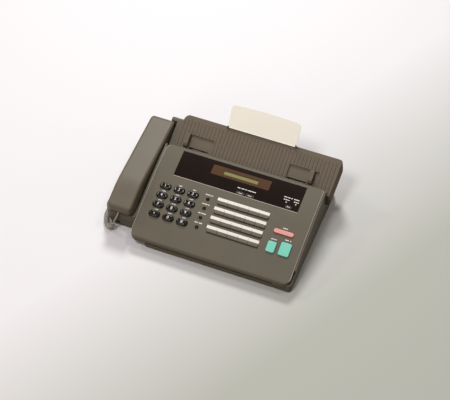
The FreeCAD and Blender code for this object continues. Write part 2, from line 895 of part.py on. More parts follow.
def tray_cover():
    y0, y1 = tray_front, case_depth
    low = wing_bottom
    slab = side_prism(-tray_left, wing_reach, [(y0, low), (y0, tray_front_z), (y1, tray_back_z), (y1, low)],
                      [0, 0, tray_back_round, 0])
    outer = box(-tray_left, 0, y0, y1, low, FAR).fuse(wing_block(0)).common(slab).common(tray_plan(0))
    w = tray_wall
    skin = tray_skin / math.cos(tray_rise)
    roof = [(y0 - 9, low - 9), (y0 - 9, tray_z(y0 - 9) - skin), (y1 - w, tray_z(y1 - w) - skin), (y1 - w, low - 9)]
    hollow = side_prism(-tray_left + w, side_gap, roof).fuse(wing_block(w)).common(tray_plan(w))
    # The front is open between the left wall and the wing.
    mouth = side_prism(-tray_left + w, side_gap, roof).common(box(-FAR, FAR, y0 - 9, y0 + 2 * w + 9, 0, FAR))
    cover = outer.cut(hollow).cut(mouth)
    cover = cover.cut(box(-FAR, side_gap, y0 - 9, FAR, 0, tray_back_bottom))
    cover = cover.fuse([on_tray(r) for r in tray_ribs()])
    cuts = []
    # Recesses of the document guides, each with a slot for its arm.
    for outer_x, inner_x, fin_x in guide_sides():
        x0, x1 = min(outer_x, inner_x), max(outer_x, inner_x)
        cuts.append(on_tray(box(x0, x1, recess_front, recess_back, -recess_depth, 5)))
        a0, a1 = arm_span(fin_x)
        t0 = min(a0, a0 + guide_travel if fin_x < -pinion_x else a0 - guide_travel)
        t1 = max(a1, a1 + guide_travel if fin_x < -pinion_x else a1 - guide_travel)
        cuts.append(on_tray(box(t0 - slot_gap, t1 + slot_gap, arm_front() - slot_gap,
                                arm_front() + arm_thick + slot_gap, -9, 5)))
    # Notches that clear the hinge ears of the lower case.
    for x, side in zip(lid_ear_x(), (-1, 1)):
        n0 = x - 0.8 - lid_ear_width * (side > 0)
        cuts.append(box(n0, n0 + lid_ear_width + 1.6, case_depth - w - 1, FAR, 0, lid_axis_z + 8))
    cover = cover.cut(Part.makeCompound(cuts))
    adds = []
    # Hinge lugs inside the back wall.
    for x, side in zip(lid_ear_x(), (-1, 1)):
        lug = x - lid_ear_width if side < 0 else x + 0.0
        lug0 = lug + (-seat_gap if side < 0 else seat_gap)
        eye = rod_x(lug0, lug0 + lid_ear_width - 1, lid_axis_y, lid_axis_z, lid_ear_radius + 0.6)
        web = box(lug0, lug0 + lid_ear_width - 1, lid_axis_y - 1, case_depth - w + 0.5,
                  lid_axis_z - 3.4, lid_axis_z + lid_ear_radius + 0.6)
        bore = rod_x(lug0 - 5, lug0 + 9, lid_axis_y, lid_axis_z, lid_pin_radius + running_gap)
        adds.append(eye.fuse(web).cut(bore))
    # Stud of the guide pinion and bosses of the support plate.
    stud = Part.makeCylinder(2.5, rack_thick + 1.2, V(-pinion_x, pinion_along, -tray_skin - rack_thick - 0.8))
    adds.append(on_tray(stud))
    for x0 in (-plate_left, -plate_right - plate_boss):
        boss = rounded_boss(x0)
        adds.append(on_tray(boss))
    return cover.fuse(adds)


def rounded_boss(x0):
    """Small pivot block on the back edge of the tray with a cross bore."""
    front, back = plate_along - plate_boss_half, plate_along + plate_boss_half
    top = plate_axis_height + plate_boss_half
    block = side_prism(x0, x0 + plate_boss, [(front, -0.8), (front, top), (back, top), (back, -0.8)],
                       [0, 1.8, 1.8, 0])
    return block.cut(rod_x(x0 - 1, x0 + plate_boss + 1, plate_along, plate_axis_height,
                           plate_pin_radius + running_gap))


def guide_sides():
    """Recess outer end, recess inner end and fin middle for the left and right guide."""
    return [(-left_recess_outer, -left_recess_inner, -fin_left + 0.5 * fin_thick),
            (-right_recess_outer, -right_recess_inner, -fin_right - 0.5 * fin_thick)]


def arm_front():
    return recess_front + slot_gap


def arm_span(fin_x):
    return fin_x - 0.5 * arm_width + (2 if fin_x < -pinion_x else -2), \
        fin_x + 0.5 * arm_width + (2 if fin_x < -pinion_x else -2)


def rack_teeth(x_from, x_to, pitch_line, facing):
    """Teeth along X on one side of a rack; a gap lies opposite the pinion."""
    pitch = math.pi * tooth_module
    teeth = []
    low = -tray_skin - seat_gap - rack_thick
    first = int(math.ceil((x_from + pinion_x) / pitch - 0.5))
    last = int(math.floor((x_to + pinion_x) / pitch - 0.5))
    for k in range(first, last + 1):
        x = -pinion_x + (k + 0.5) * pitch
        root = pitch_line - facing * 1.25 * tooth_module
        tip = pitch_line + facing * 0.8 * tooth_module
        base, top = 0.29 * pitch, 0.12 * pitch
        wire = Part.makePolygon([V(x - base, root, low), V(x - top, tip, low), V(x + top, tip, low),
                                 V(x + base, root, low), V(x - base, root, low)])
        teeth.append(Part.Face(wire).extrude(V(0, 0, rack_thick)))
    return teeth


def document_guide(side):
    """Fin that stands in its recess, with an arm through the slot and a rack under the tray."""
    outer_x, inner_x, fin_x = guide_sides()[side]
    fin = side_prism(fin_x - 0.5 * fin_thick, fin_x + 0.5 * fin_thick,
                     [(recess_front + 1, seat_gap - recess_depth), (recess_front + 1, 0.7 * fin_height),
                      (recess_front + 6, fin_height), (recess_back - 1.0, fin_height),
                      (recess_back - 1.0, seat_gap - recess_depth)], [0.8, 4, 4, 2, 0])
    low = -tray_skin - seat_gap - rack_thick
    a0, a1 = arm_span(fin_x)
    arm = box(a0, a1, arm_front(), arm_front() + arm_thick, low, seat_gap - recess_depth + 2.0)
    radius = 0.5 * pinion_teeth * tooth_module
    left = side == 0
    pitch_line = pinion_along + (radius if left else -radius)
    facing = -1 if left else 1
    root = pitch_line - facing * 1.2 * tooth_module
    body0, body1 = sorted((root, root - facing * rack_body))
    link = box(a0, a1, min(arm_front(), body0), max(arm_front() + arm_thick, body1), low, low + rack_thick)
    if left:
        bar = box(a0, -pinion_x + 6, body0, body1, low, low + rack_thick)
        teeth = rack_teeth(-pinion_x - guide_travel - 5, -pinion_x + 6, pitch_line, facing)
    else:
        bar = box(-pinion_x - 6, a1, body0, body1, low, low + rack_thick)
        teeth = rack_teeth(-pinion_x - 6, -pinion_x + guide_travel + 5, pitch_line, facing)
    guide = fin.fuse([arm, link, bar] + teeth).removeSplitter()
    return on_tray(guide)


def gear_outline(teeth, centre, phase, to_point):
    """Closed outline of a spur gear; one tooth points along the phase angle."""
    pitch_radius = 0.5 * tooth_module * teeth
    root = pitch_radius - 1.25 * tooth_module
    tip = pitch_radius + 0.8 * tooth_module
    step = 2 * math.pi / teeth
    points = []
    for i in range(teeth):
        middle = phase + i * step
        for radius, share in ((root, -0.29), (tip, -0.12), (tip, 0.12), (root, 0.29)):
            angle = middle + share * step
            points.append(to_point(centre[0] + radius * math.cos(angle), centre[1] + radius * math.sin(angle)))
    points.append(points[0])
    return Part.Face(Part.makePolygon(points))


def gear_x(teeth, y, z, phase, x0, width, bore):
    face = gear_outline(teeth, (y, z), phase, lambda a, b: V(x0, a, b))
    wheel = face.extrude(V(width, 0, 0))
    if bore:
        wheel = wheel.cut(rod_x(x0 - 1, x0 + width + 1, y, z, bore))
    return wheel


def guide_pinion():
    low = -tray_skin - seat_gap - rack_thick
    face = gear_outline(pinion_teeth, (-pinion_x, pinion_along), 0.5 * math.pi, lambda a, b: V(a, b, low))
    wheel = face.extrude(V(0, 0, rack_thick))
    wheel = wheel.cut(Part.makeCylinder(2.5 + running_gap, 20, V(-pinion_x, pinion_along, low - 5)))
    return on_tray(wheel)


def support_plate():
    """Cream plate with a bowed top edge, hinged at the back edge of the tray."""
    x0 = -plate_left + plate_boss + seat_gap
    x1 = -plate_right - plate_boss - seat_gap
    barrel = rod_x(x0, x1, 0, 0, plate_pin_radius)
    pins = [rod_x(x0 - plate_boss + 0.6, x0, 0, 0, plate_pin_radius),
            rod_x(x1, x1 + plate_boss - 0.6, 0, 0, plate_pin_radius)]
    half = 0.5 * plate_thick
    tongue = box(x0, x1, 0, plate_shoulder + 1, -half, half)
    # Above the pivots the plate is as wide as the span over both of them.
    x0 = -plate_left + plate_margin
    x1 = -plate_right - plate_margin
    bow = 1.6
    foot = plate_shoulder
    side = plate_length - plate_corner - bow
    top_edge = plate_length - bow
    turn = plate_corner * (1 - math.sqrt(0.5))

    def at(x, y):
        return V(x, y, -half)
    low = Part.LineSegment(at(x0, foot), at(x1, foot)).toShape()
    right = Part.LineSegment(at(x1, foot), at(x1, side)).toShape()
    c1 = Part.Arc(at(x1, side), at(x1 - turn, top_edge - turn), at(x1 - plate_corner, top_edge)).toShape()
    top = Part.Arc(at(x1 - plate_corner, top_edge), at(0.5 * (x0 + x1), plate_length),
                   at(x0 + plate_corner, top_edge)).toShape()
    c2 = Part.Arc(at(x0 + plate_corner, top_edge), at(x0 + turn, top_edge - turn), at(x0, side)).toShape()
    left = Part.LineSegment(at(x0, side), at(x0, foot)).toShape()
    sheet = Part.Face(Part.Wire([low, right, c1, top, c2, left])).extrude(V(0, 0, plate_thick))
    plate = sheet.fuse([tongue, barrel] + pins).removeSplitter()
    plate.rotate(ORIGIN, X_AXIS, plate_lean)
    plate.translate(V(0, plate_axis_y, plate_axis_z))
    return plate


def chassis():
    x0, x1 = -chassis_left, -chassis_right
    trough_out = roll_radius + seat_gap + trough_wall
    back = roll_y + trough_out
    walls = []
    # The side walls step down behind the feed shaft, clear below the arms of the paper guides.
    step = guide_end - wall_step
    for a in (x0, x1 - chassis_wall):
        front = panel_layer(a, a + chassis_wall, chassis_front, step, wall_depth, wall_depth + 200)
        front = front.common(box(-FAR, FAR, -FAR, FAR, floor_top, FAR))
        rear = box(a, a + chassis_wall, step - 1, back, floor_top, wall_rear_top)
        walls += [front, rear]
    sheet = panel_layer(inner_left - 1, inner_right + 1, sheet_front, guide_end, guide_depth,
                        guide_depth + guide_sheet)
    tub = rod_x(inner_left - 1, inner_right + 1, roll_y, roll_z, trough_out)
    tub = tub.fuse(box(inner_left - 1, inner_right + 1, roll_y - trough_out, back, roll_z, compartment_top - 3))
    hollow = rod_x(x0, x1, roll_y, roll_z, roll_radius + seat_gap)
    hollow = hollow.fuse(box(x0, x1, roll_y - roll_radius - seat_gap, roll_y + roll_radius + seat_gap,
                             roll_z, FAR))
    frame = walls[0].fuse(walls[1:] + [sheet, tub.cut(hollow)])
    # Windows for the rollers and the sensor.
    cuts = []
    half = feed_ring_spread + 0.5 * feed_ring_width + 2
    cuts.append(box(-pinion_x - half, -pinion_x + half, feed_y - feed_radius - 1.5, feed_y + feed_radius + 1.5,
                    feed_z - 5, feed_z + feed_radius + 6))
    slot = 0.5 * sensor_width + seat_gap
    cuts.append(on_panel(box(-FAR, FAR, -slot, slot, -guide_depth - 12, -guide_depth + 2), 0, sensor_y)
                .common(box(inner_left, inner_right, -FAR, FAR, 0, FAR)))
    cuts.append(rod_x(x0 - 5, x1 + 5, feed_y, feed_z, feed_shaft_radius + running_gap))
    cuts.append(rod_x(x0 - 5, x1 + 5, platen_y, platen_z, platen_shaft_radius + running_gap))
    cuts.append(rod_x(inner_right - 1, x1 + 5, motor_y, motor_z, motor_shaft_radius + 2.5))
    cuts.append(box(-FAR, -exit_left, -FAR, chassis_front, 0, FAR))
    # Room for the lower edge of the tray's back wall as the tray swings up.
    swing = math.hypot(case_depth - lid_axis_y, lid_axis_z - tray_back_bottom) + 2 * seat_gap
    cuts.append(rod_x(-FAR, FAR, lid_axis_y, lid_axis_z, swing))
    return frame.cut(Part.makeCompound(cuts))


def paper_roll():
    mid = 0.5 * (inner_left + inner_right)
    x0, x1 = mid - 0.5 * roll_width, mid + 0.5 * roll_width
    roll = rod_x(x0, x1, roll_y, roll_z, roll_radius)
    return roll.cut(rod_x(x0 - 1, x1 + 1, roll_y, roll_z, roll_core_radius))


def gear_start():
    return -chassis_right + gear_offset


def feed_shaft():
    return rod_x(-chassis_left - bearing_reach, gear_start() + gear_width + 1, feed_y, feed_z, feed_shaft_radius)


def feed_rollers():
    rings = []
    for side in (-1, 1):
        x = -pinion_x + side * feed_ring_spread
        ring = rod_x(x - 0.5 * feed_ring_width, x + 0.5 * feed_ring_width, feed_y, feed_z, feed_radius)
        rings.append(ring.cut(rod_x(-FAR, FAR, feed_y, feed_z, feed_shaft_radius)))
    return Part.makeCompound(rings)


def feed_gear():
    phase = math.radians(motor_angle)
    return gear_x(feed_teeth, feed_y, feed_z, phase, gear_start(), gear_width, feed_shaft_radius)


def platen_phase():
    step = 2 * math.pi / feed_teeth
    towards = math.radians(platen_angle)
    k = round((towards - math.radians(motor_angle)) / step)
    offset = (math.radians(motor_angle) + k * step - towards) * feed_pitch
    return towards + math.pi - offset / platen_pitch + math.pi / platen_teeth


def platen_shaft():
    return rod_x(-chassis_left - bearing_reach, gear_start() + gear_width + 1, platen_y, platen_z,
                 platen_shaft_radius)


def platen_roller():
    mid = 0.5 * (inner_left + inner_right)
    sleeve = rod_x(mid - 0.5 * roll_width - 2, mid + 0.5 * roll_width + 2, platen_y, platen_z, platen_radius)
    return sleeve.cut(rod_x(-FAR, FAR, platen_y, platen_z, platen_shaft_radius))


def platen_gear():
    return gear_x(platen_teeth, platen_y, platen_z, platen_phase(), gear_start(), gear_width,
                  platen_shaft_radius)


def drive_motor():
    """Can motor with a flange on the inner face of the right chassis wall."""
    x1 = inner_right
    can = rod_x(x1 - motor_length, x1, motor_y, motor_z, motor_radius)
    edges = [e for e in can.Edges if all(abs(v.X - (x1 - motor_length)) < 1e-4 for v in e.Vertexes)]
    can = can.makeFillet(1.5, edges)
    return can.cut(rod_x(x1 - 12, x1 + 1, motor_y, motor_z, motor_shaft_radius + running_gap))


def motor_pinion():
    phase = math.radians(motor_angle) + math.pi + math.pi / motor_teeth
    wheel = gear_x(motor_teeth, motor_y, motor_z, phase, gear_start(), gear_width, 0)
    return wheel.fuse(rod_x(inner_right - 11, gear_start() + 1, motor_y, motor_z, motor_shaft_radius))


def thermal_head():
    """Heat sink bar with a ceramic edge that faces the platen roller."""
    y1 = platen_y - platen_radius - seat_gap
    z0 = platen_z - 0.5 * head_height
    return side_prism(inner_left, inner_right,
                      [(y1 - head_depth, z0), (y1 - 0.8, z0), (y1 - 0.8, platen_z - 2), (y1, platen_z - 1.4),
                       (y1, platen_z + 1.4), (y1 - 0.8, platen_z + 2), (y1 - 0.8, z0 + head_height - 3),
                       (y1 - head_depth, z0 + head_height - 3)])


def image_sensor():
    half = 0.5 * sensor_width
    body = box(inner_left, inner_right, -half, half, -guide_depth - sensor_height, -guide_depth)
    groove = box(inner_left + 6, inner_right - 6, -1.2, 1.2, -guide_depth - 0.8, -guide_depth + 1)
    return on_panel(body.cut(groove), 0, sensor_y)


def main_board():
    z = floor_top + standoff_height
    x0, y0 = -main_board_left, main_board_front
    width, depth = main_board_left - main_board_right, main_board_back - main_board_front
    plate = box(x0, x0 + width, y0, y0 + depth, z, z + pcb_thick)
    top = z + pcb_thick - 0.1
    # Processor, two memories and a pin comb, placed by shares of the board.
    chips = []
    for a, b, c, d, height in ((0.12, 0.35, 0.22, 0.52, chip_height), (0.50, 0.62, 0.17, 0.54, memory_height),
                               (0.68, 0.80, 0.17, 0.54, memory_height), (0.17, 0.52, 0.72, 0.80, comb_height)):
        chips.append(box(x0 + a * width, x0 + b * width, y0 + c * depth, y0 + d * depth, top, top + height))
    return plate.fuse(chips)


def power_supply():
    z = floor_top + standoff_height
    x0, y0 = -supply_left, supply_front
    width, depth = supply_left - supply_right, supply_back - supply_front
    plate = box(x0, x0 + width, y0, y0 + depth, z, z + pcb_thick)
    top = z + pcb_thick - 0.1
    coil = box(x0 + 0.22 * width, x0 + 0.66 * width, y0 + 0.50 * depth, y0 + 0.91 * depth, top, top + coil_height)
    cans = [Part.makeCylinder(share * width, can_height, V(x0 + 0.81 * width, y0 + row * depth, top))
            for share, row in ((0.094, 0.59), (0.070, 0.82))]
    fins = []
    for i in range(6):
        x = x0 + (0.13 + 0.094 * i) * width
        fins.append(box(x, x + 0.03 * width, y0 + 0.12 * depth, y0 + 0.35 * depth, top, top + sink_height))
    sink = box(x0 + 0.13 * width, x0 + 0.63 * width, y0 + 0.21 * depth, y0 + 0.25 * depth, top, top + sink_height)
    return plate.fuse([coil, sink] + cans + fins)


def speaker():
    x = speaker_x()
    frame = Part.makeCone(speaker_radius, 0.62 * speaker_radius, 0.5 * speaker_height, V(x, speaker_y, floor_top))
    magnet = Part.makeCylinder(0.62 * speaker_radius, 0.5 * speaker_height,
                               V(x, speaker_y, floor_top + 0.5 * speaker_height))
    bowl = Part.makeCone(speaker_radius - 3, 6, 0.4 * speaker_height, V(x, speaker_y, floor_top))
    return frame.fuse(magnet).cut(bowl)


def socket_block():
    """Modular socket: block with a stepped mouth, its face flush with the wall."""
    w, h = 0.5 * socket_width, 0.5 * socket_height
    block = box(-w, w, -socket_deep, 0, -h, h)
    m, n = 0.5 * socket_mouth_width, 0.5 * socket_mouth_height
    mouth = box(-m, m, 1 - socket_deep + 1.5, 1, -n, n)
    latch = box(-0.3 * socket_mouth_width, 0.3 * socket_mouth_width, -9, 1, n - 0.5, n + 2)
    return block.cut(mouth.fuse(latch))


def modular_sockets():
    block = socket_block()
    return Part.makeCompound([place_socket(block, spot, turn) for spot, turn in socket_places()])


def mains_inlet():
    w, h = 0.5 * inlet_width, 0.5 * inlet_height
    block = box(-w, w, -inlet_deep, 0, -h, h)
    mouth = rounded_box(-w + 2.5, w - 2.5, -h + 2.5, h - 2.5, -1, inlet_deep - 3, 3)
    mouth.rotate(ORIGIN, X_AXIS, 90)
    block = block.cut(mouth)
    blades = [Part.makeCylinder(1.2, inlet_deep - 5, V(x, -inlet_deep + 1, 0), Y_AXIS) for x in (-4.2, 4.2)]
    block = block.fuse(blades)
    block.translate(V(-inlet_x, case_depth, inlet_z))
    return block


def deck_z(y):
    return rest_deck_front + rest_deck_slope * (y - rest_setback)


def rest_right():
    return panel_left - side_gap


def rest_shape(inset, lift):
    """Block of the handset rest, drawn in by inset on every side and lowered by lift."""
    x0, x1 = -overall_left + inset, rest_right() - inset
    y0, y1 = rest_setback + inset, case_depth - inset
    z0 = rest_parting - (1 if inset else 0)
    deck = side_prism(x0, x1, [(y0, z0), (y0, deck_z(y0) - lift), (y1, deck_z(y1) - lift), (y1, z0)])
    deck = deck.common(plan_prism([(x0, y0), (x1, y0), (x1, y1), (x0, y1)],
                                  [corner_rest - inset, 0, 0, corner_rest - inset], 0, FAR))
    return deck


def rest_cover():
    """Upper moulding of the handset rest with its wells and the band beside the panel."""
    cover = rest_shape(0, 0)
    x1 = rest_right()
    band_x = x1 - rest_right_wall
    low = rest_parting
    band = panel_layer(band_x, x1, rest_setback, panel_back, rim_below_panel, 300)
    band = band.common(box(-FAR, FAR, rest_setback, FAR, low, FAR))
    rear_x = rest_rear_x()
    slope = [(panel_back - 0.01, low), (panel_back - 0.01, tray_z(panel_back) - band_drop),
             (case_depth, tray_z(case_depth) - block_drop), (case_depth, low)]
    ends = [0, 0, block_round, 0]
    shoulder = side_prism(band_x, x1, slope, ends)
    edge = side_prism(x1, rear_x, [(panel_back + side_gap, low), (panel_back + side_gap, tray_z(panel_back) - band_drop)]
                      + slope[2:], ends)
    block = side_prism(-block_left, rear_x, slope, ends).common(
        plan_prism([(-block_left, block_front), (rear_x, block_front), (rear_x, case_depth), (-block_left, case_depth)],
                   [0, 0, 0, block_round], low, FAR))
    cover = cover.fuse([band, shoulder, edge, block])
    hollow = rest_shape(rest_wall, rest_deck_thick)
    inner = side_prism(-block_left + rest_wall, rear_x - rest_wall,
                       [(panel_back + 4, low - 1), (panel_back + 4, tray_z(panel_back) - band_drop - 4),
                        (case_depth - rest_wall, tray_z(case_depth - rest_wall) - block_drop - 4),
                        (case_depth - rest_wall, low - 1)])
    keep = box(-FAR, band_x + 0.01, -FAR, block_front + rest_wall, 0, FAR)
    cover = cover.cut(hollow).cut(inner.cut(keep))
    wells = []
    for a, b in ((mouth_front, mouth_back), (ear_front, ear_back)):
        g = well_gap
        wells.append(side_prism(-handset_left - g, -handset_right + g,
                                [(a - g, deck_z(a - g) - well_depth), (a - g, FAR / 10), (b + g, FAR / 10),
                                 (b + g, deck_z(b + g) - well_depth)]))
    cover = cover.cut(Part.makeCompound([w.common(box(-FAR, rest_right() - rest_right_wall - 0.3, -FAR, FAR, 0,
                                                      handset_back_top)) for w in wells]))
    hook = 0.5 * hook_width + seat_gap
    length = 0.5 * hook_length + seat_gap
    cover = cover.cut(box(hook_x() - hook, hook_x() + hook, hook_y - length, hook_y + length, low, FAR / 10))
    bore = rod_x(x1 - panel_pin_length - 0.4, x1 + 1, panel_pin_y, panel_pin_z, panel_pin_radius + running_gap)
    return cover.cut(bore)


def hook_x():
    return -0.5 * (handset_left + handset_right)


def hook_switch():
    """Plunger in the ear well, pressed down by the handset."""
    top = deck_z(hook_y - 0.5 * hook_length) - well_depth
    cap = rounded_box(hook_x() - 0.5 * hook_width, hook_x() + 0.5 * hook_width, hook_y - 0.5 * hook_length,
                      hook_y + 0.5 * hook_length, top - hook_reach, top, 1.5)
    return round_top(cap, top, 1.0)


def handset_solid():
    def cup(y):
        return deck_z(y) - well_depth + seat_gap
    corners = [(handset_front, handset_front_low), (handset_front + 0.5, handset_front_top),
               (handset_shoulder_y, handset_shoulder_z), (handset_back_y, handset_back_top),
               (handset_back_y, handset_back_low), (ear_back, cup(ear_back)), (ear_front, cup(ear_front)),
               (grip_back, grip_back_z), (grip_front, grip_front_z), (mouth_back, cup(mouth_back)),
               (mouth_front, cup(mouth_front))]
    radii = [5.5, 8, 120, 10, 8, 6, 6, 12, 12, 6, 6]
    block = side_prism(-handset_left, -handset_right, corners, radii)
    sides = [e for e in block.Edges
             if all(abs(v.X + handset_left) < 1e-4 for v in e.Vertexes)
             or all(abs(v.X + handset_right) < 1e-4 for v in e.Vertexes)]
    block = block.makeFillet(handset_round, sides)
    x0, x1, y0, y1 = -handset_left, -handset_right, handset_front, handset_back_y
    return block.common(plan_prism([(x0, y0), (x1, y0), (x1, y1), (x0, y1)], [handset_corner] * 4, 0, FAR))


def part_plane(upper):
    """Half space above or below the parting line of the handset shells."""
    y0, y1 = handset_front - 20, handset_back_y + 20
    slope = (handset_part_back - handset_part_front) / (handset_back_y - handset_front)
    z0 = handset_part_front - 20 * slope
    z1 = handset_part_back + 20 * slope
    edge = FAR / 4 if upper else -FAR / 4
    return side_prism(-handset_left - 10, -handset_right + 10, [(y0, z0), (y1, z1), (y1, edge), (y0, edge)])


def handset_back():
    return handset_solid().common(part_plane(True))


def handset_face():
    face = handset_solid().common(part_plane(False))
    x = hook_x()
    cuts = []
    for y in (0.5 * (mouth_front + mouth_back), 0.5 * (ear_front + ear_back)):
        z = deck_z(y) - well_depth + seat_gap
        for i in range(6):
            a = math.radians(60 * i)
            cuts.append(Part.makeCylinder(1.0, 3, V(x + 5 * math.cos(a), y + 5 * math.sin(a), z - 1)))
        cuts.append(Part.makeCylinder(1.0, 3, V(x, y, z - 1)))
    return face.cut(Part.makeCompound(cuts))


def cord_exit():
    """Middle of the sloping chin of the handset and the way out of it."""
    low_z = deck_z(mouth_front) - well_depth + seat_gap
    dy, dz = mouth_front - handset_front, low_z - handset_front_low
    length = math.hypot(dy, dz)
    return V(hook_x() - 2.0, handset_front + 0.5 * dy, handset_front_low + 0.5 * dz), V(0, dz / length, -dy / length)


def plug_point():
    return V(-overall_left + socket_inset() - plug_outside, socket_handset_y, socket_z)


def cord_points():
    """Corner points of the cord's middle line, each with the radius of its turn."""
    start, out = cord_exit()
    lift = curl_radius + wire_radius + cord_floor_gap
    wall = overall_left - rest_draft + wire_radius + curl_radius + cord_wall_gap + 0.6
    reach = corner_rest + wall - overall_left
    plug = plug_point()
    return [(start, 0), (start + out * 6.0, 6.0), (V(-327.5, 8.0, lift), cord_turn_radius),
            (V(-wall, rest_setback + 4.0 + reach - corner_rest, lift), reach),
            (V(-wall, cord_end_y, lift), 30.0), (V(plug.x - 8.2, socket_handset_y - 10.0, socket_z), 10.0),
            (V(plug.x - 8.2, socket_handset_y, socket_z), 5.2), (plug, 0)]


def cord_runs():
    """Straight runs and tangent arcs of the middle line, as (length, curvature, place at s)."""
    spots = cord_points()
    runs = []
    here = spots[0][0]
    for i in range(1, len(spots)):
        corner, radius = spots[i]
        ahead = corner - here
        heading = V(ahead.x, ahead.y, ahead.z).normalize()
        if i == len(spots) - 1:
            runs.append(("line", here, heading, ahead.Length))
            break
        onward = (spots[i + 1][0] - corner).normalize()
        turn = heading.getAngle(onward)
        reach = radius * math.tan(0.5 * turn)
        runs.append(("line", here, heading, ahead.Length - reach))
        print("cord run %.1f mm, turn %.0f deg at radius %.1f" % (ahead.Length - reach, math.degrees(turn), radius))
        axis = heading.cross(onward).normalize()
        begin = corner - heading * reach
        runs.append(("arc", begin, heading, radius * turn, axis, radius))
        here = corner + onward * reach
    return runs


def cord_frames(step):
    """Points, headings and side vectors along the middle line at even steps."""
    frames = []
    side = None
    done = 0.0
    for run in cord_runs():
        start, heading, length = run[1], run[2], run[3]
        if side is None:
            side = heading.cross(X_AXIS).normalize()
        count = max(2, int(round(length / step)))
        begin_side = side
        for k in range(count):
            s = length * k / count
            if run[0] == "line":
                frames.append((done + s, start + heading * s, heading, begin_side, 0.0))
            else:
                axis, radius = run[4], run[5]
                turn = FreeCAD.Rotation(axis, math.degrees(s / radius))
                centre = start + axis.cross(heading) * radius
                frames.append((done + s, centre + turn.multVec(start - centre), turn.multVec(heading),
                               turn.multVec(begin_side), 1.0 / radius))
        if run[0] == "arc":
            side = FreeCAD.Rotation(run[4], math.degrees(length / run[5])).multVec(begin_side)
        done += length
    last = cord_points()[-1][0]
    frames.append((done, last, frames[-1][2], side, 0.0))
    return frames


def cord_line():
    """Points of the curled wire: the curls start and end softly, closer on straight runs."""
    frames = cord_frames(0.1)
    first = 19.0
    last = frames[-1][0] - 40.0
    ramp = 2.6 * curl_pitch
    phase = 0.0
    line = []
    for i, (s, spot, heading, side, bend) in enumerate(frames):
        rise = max(0.0, min(1.0, (s - first) / ramp, (last - s) / ramp))
        if first < s < last:
            near = [f[4] for f in frames[max(0, i - 30):i + 30:6]]
            pitch = curl_pitch * (1 + 2.2 * (1 - rise)) / (1 - curl_radius * sum(near) / len(near))
            phase += 2 * math.pi * (s - frames[i - 1][0]) / pitch
        radius = curl_radius * rise * rise * (3 - 2 * rise)
        other = heading.cross(side)
        line.append((phase, spot + side * (radius * math.cos(phase)) + other * (radius * math.sin(phase))))
    return line


def biarc(p0, t0, p1, t1):
    """Two arcs that leave p0 along t0 and reach p1 along t1."""
    across = p1 - p0
    both = t0 + t1
    spread = 2 * (1 - t0.dot(t1))
    along = across.dot(both)
    square = across.dot(across)
    if spread < 1e-9:
        reach = square / (2 * along)
    else:
        reach = (-along + math.sqrt(along * along + spread * square)) / spread
    q0, q1 = p0 + t0 * reach, p1 - t1 * reach
    middle = (q0 + q1) * 0.5
    return [flat_arc(p0, q0, middle), flat_arc(middle, q1, p1)]


def flat_arc(a, corner, b):
    chord = b - a
    rise = corner - (a + b) * 0.5
    if rise.Length < 1e-4:
        return Part.LineSegment(a, b).toShape()
    half = 0.5 * chord.Length
    turn = math.atan2(rise.Length, half)
    top = (a + b) * 0.5 + rise.normalize() * (half * math.tan(0.5 * turn))
    return Part.Arc(a, top, b).toShape()


def least_gap(points, lengths):
    """Least clear distance of the wire to itself, measured on points."""
    best = FAR
    apart = 3.0 * wire_radius * math.pi
    cells = {}
    size = 6.0
    for i, p in enumerate(points):
        key = (int(p.x // size), int(p.y // size), int(p.z // size))
        cells.setdefault(key, []).append(i)
    for (a, b, c), held in cells.items():
        close = [j for da in (0, 1, -1) for db in (0, 1, -1) for dc in (0, 1, -1)
                 for j in cells.get((a + da, b + db, c + dc), [])]
        for i in held:
            for j in close:
                if lengths[j] - lengths[i] > apart:
                    best = min(best, points[i].distanceToPoint(points[j]))
    return best - 2 * wire_radius


def handset_cord():
    line = cord_line()
    stops = [0]
    for i in range(1, len(line) - 1):
        turned = line[i][0] - line[stops[-1]][0]
        walked = i - stops[-1]
        if turned >= 0.5 * math.pi or (turned < 1e-9 and walked >= 40):
            stops.append(i)
    if len(line) - 1 - stops[-1] < 15:
        stops.pop()
    stops.append(len(line) - 1)

    def tangent(i):
        a, b = max(0, i - 1), min(len(line) - 1, i + 1)
        return (line[b][1] - line[a][1]).normalize()
    edges = []
    for a, b in zip(stops[:-1], stops[1:]):
        edges += biarc(line[a][1], tangent(a), line[b][1], tangent(b))
    radii = [e.Curve.Radius for e in edges if hasattr(e.Curve, "Radius")]
    spine = Part.Wire(edges)
    ring = Part.Wire([Part.makeCircle(wire_radius, line[0][1], tangent(0))])
    sweep = Part.BRepOffsetAPI.MakePipeShell(spine)
    sweep.add(ring)
    sweep.build()
    sweep.makeSolid()
    cord = sweep.shape()
    points = [p for _, p in line[::3]]
    lengths = [0.0]
    for a, b in zip(points[:-1], points[1:]):
        lengths.append(lengths[-1] + a.distanceToPoint(b))
    whole = math.pi * wire_radius ** 2 * spine.Length
    print("cord curls %.1f arcs %d least radius %.2f length %.0f" %
          (line[-1][0] / (2 * math.pi), len(edges), min(radii), spine.Length))
    print("cord least gap %.2f volume share %.4f" % (least_gap(points, lengths), cord.Volume / whole))
    return cord


def cord_plug():
    """Clear modular plug in the handset socket, with its latch."""
    spot = plug_point()
    body = box(0, plug_outside + plug_inside, -0.5 * plug_width, 0.5 * plug_width, -0.5 * plug_height,
               0.5 * plug_height)
    latch = side_latch()
    plug = body.fuse(latch)
    plug.translate(spot)
    return plug


def side_latch():
    top = 0.5 * plug_height
    wire = Part.makePolygon([V(2.0, -1.6, top - 0.1), V(10.0, -1.6, top - 0.1), V(10.0, -1.6, top + 0.6),
                             V(2.0, -1.6, top + 1.4), V(2.0, -1.6, top - 0.1)])
    return Part.Face(wire).extrude(V(0, 3.2, 0))


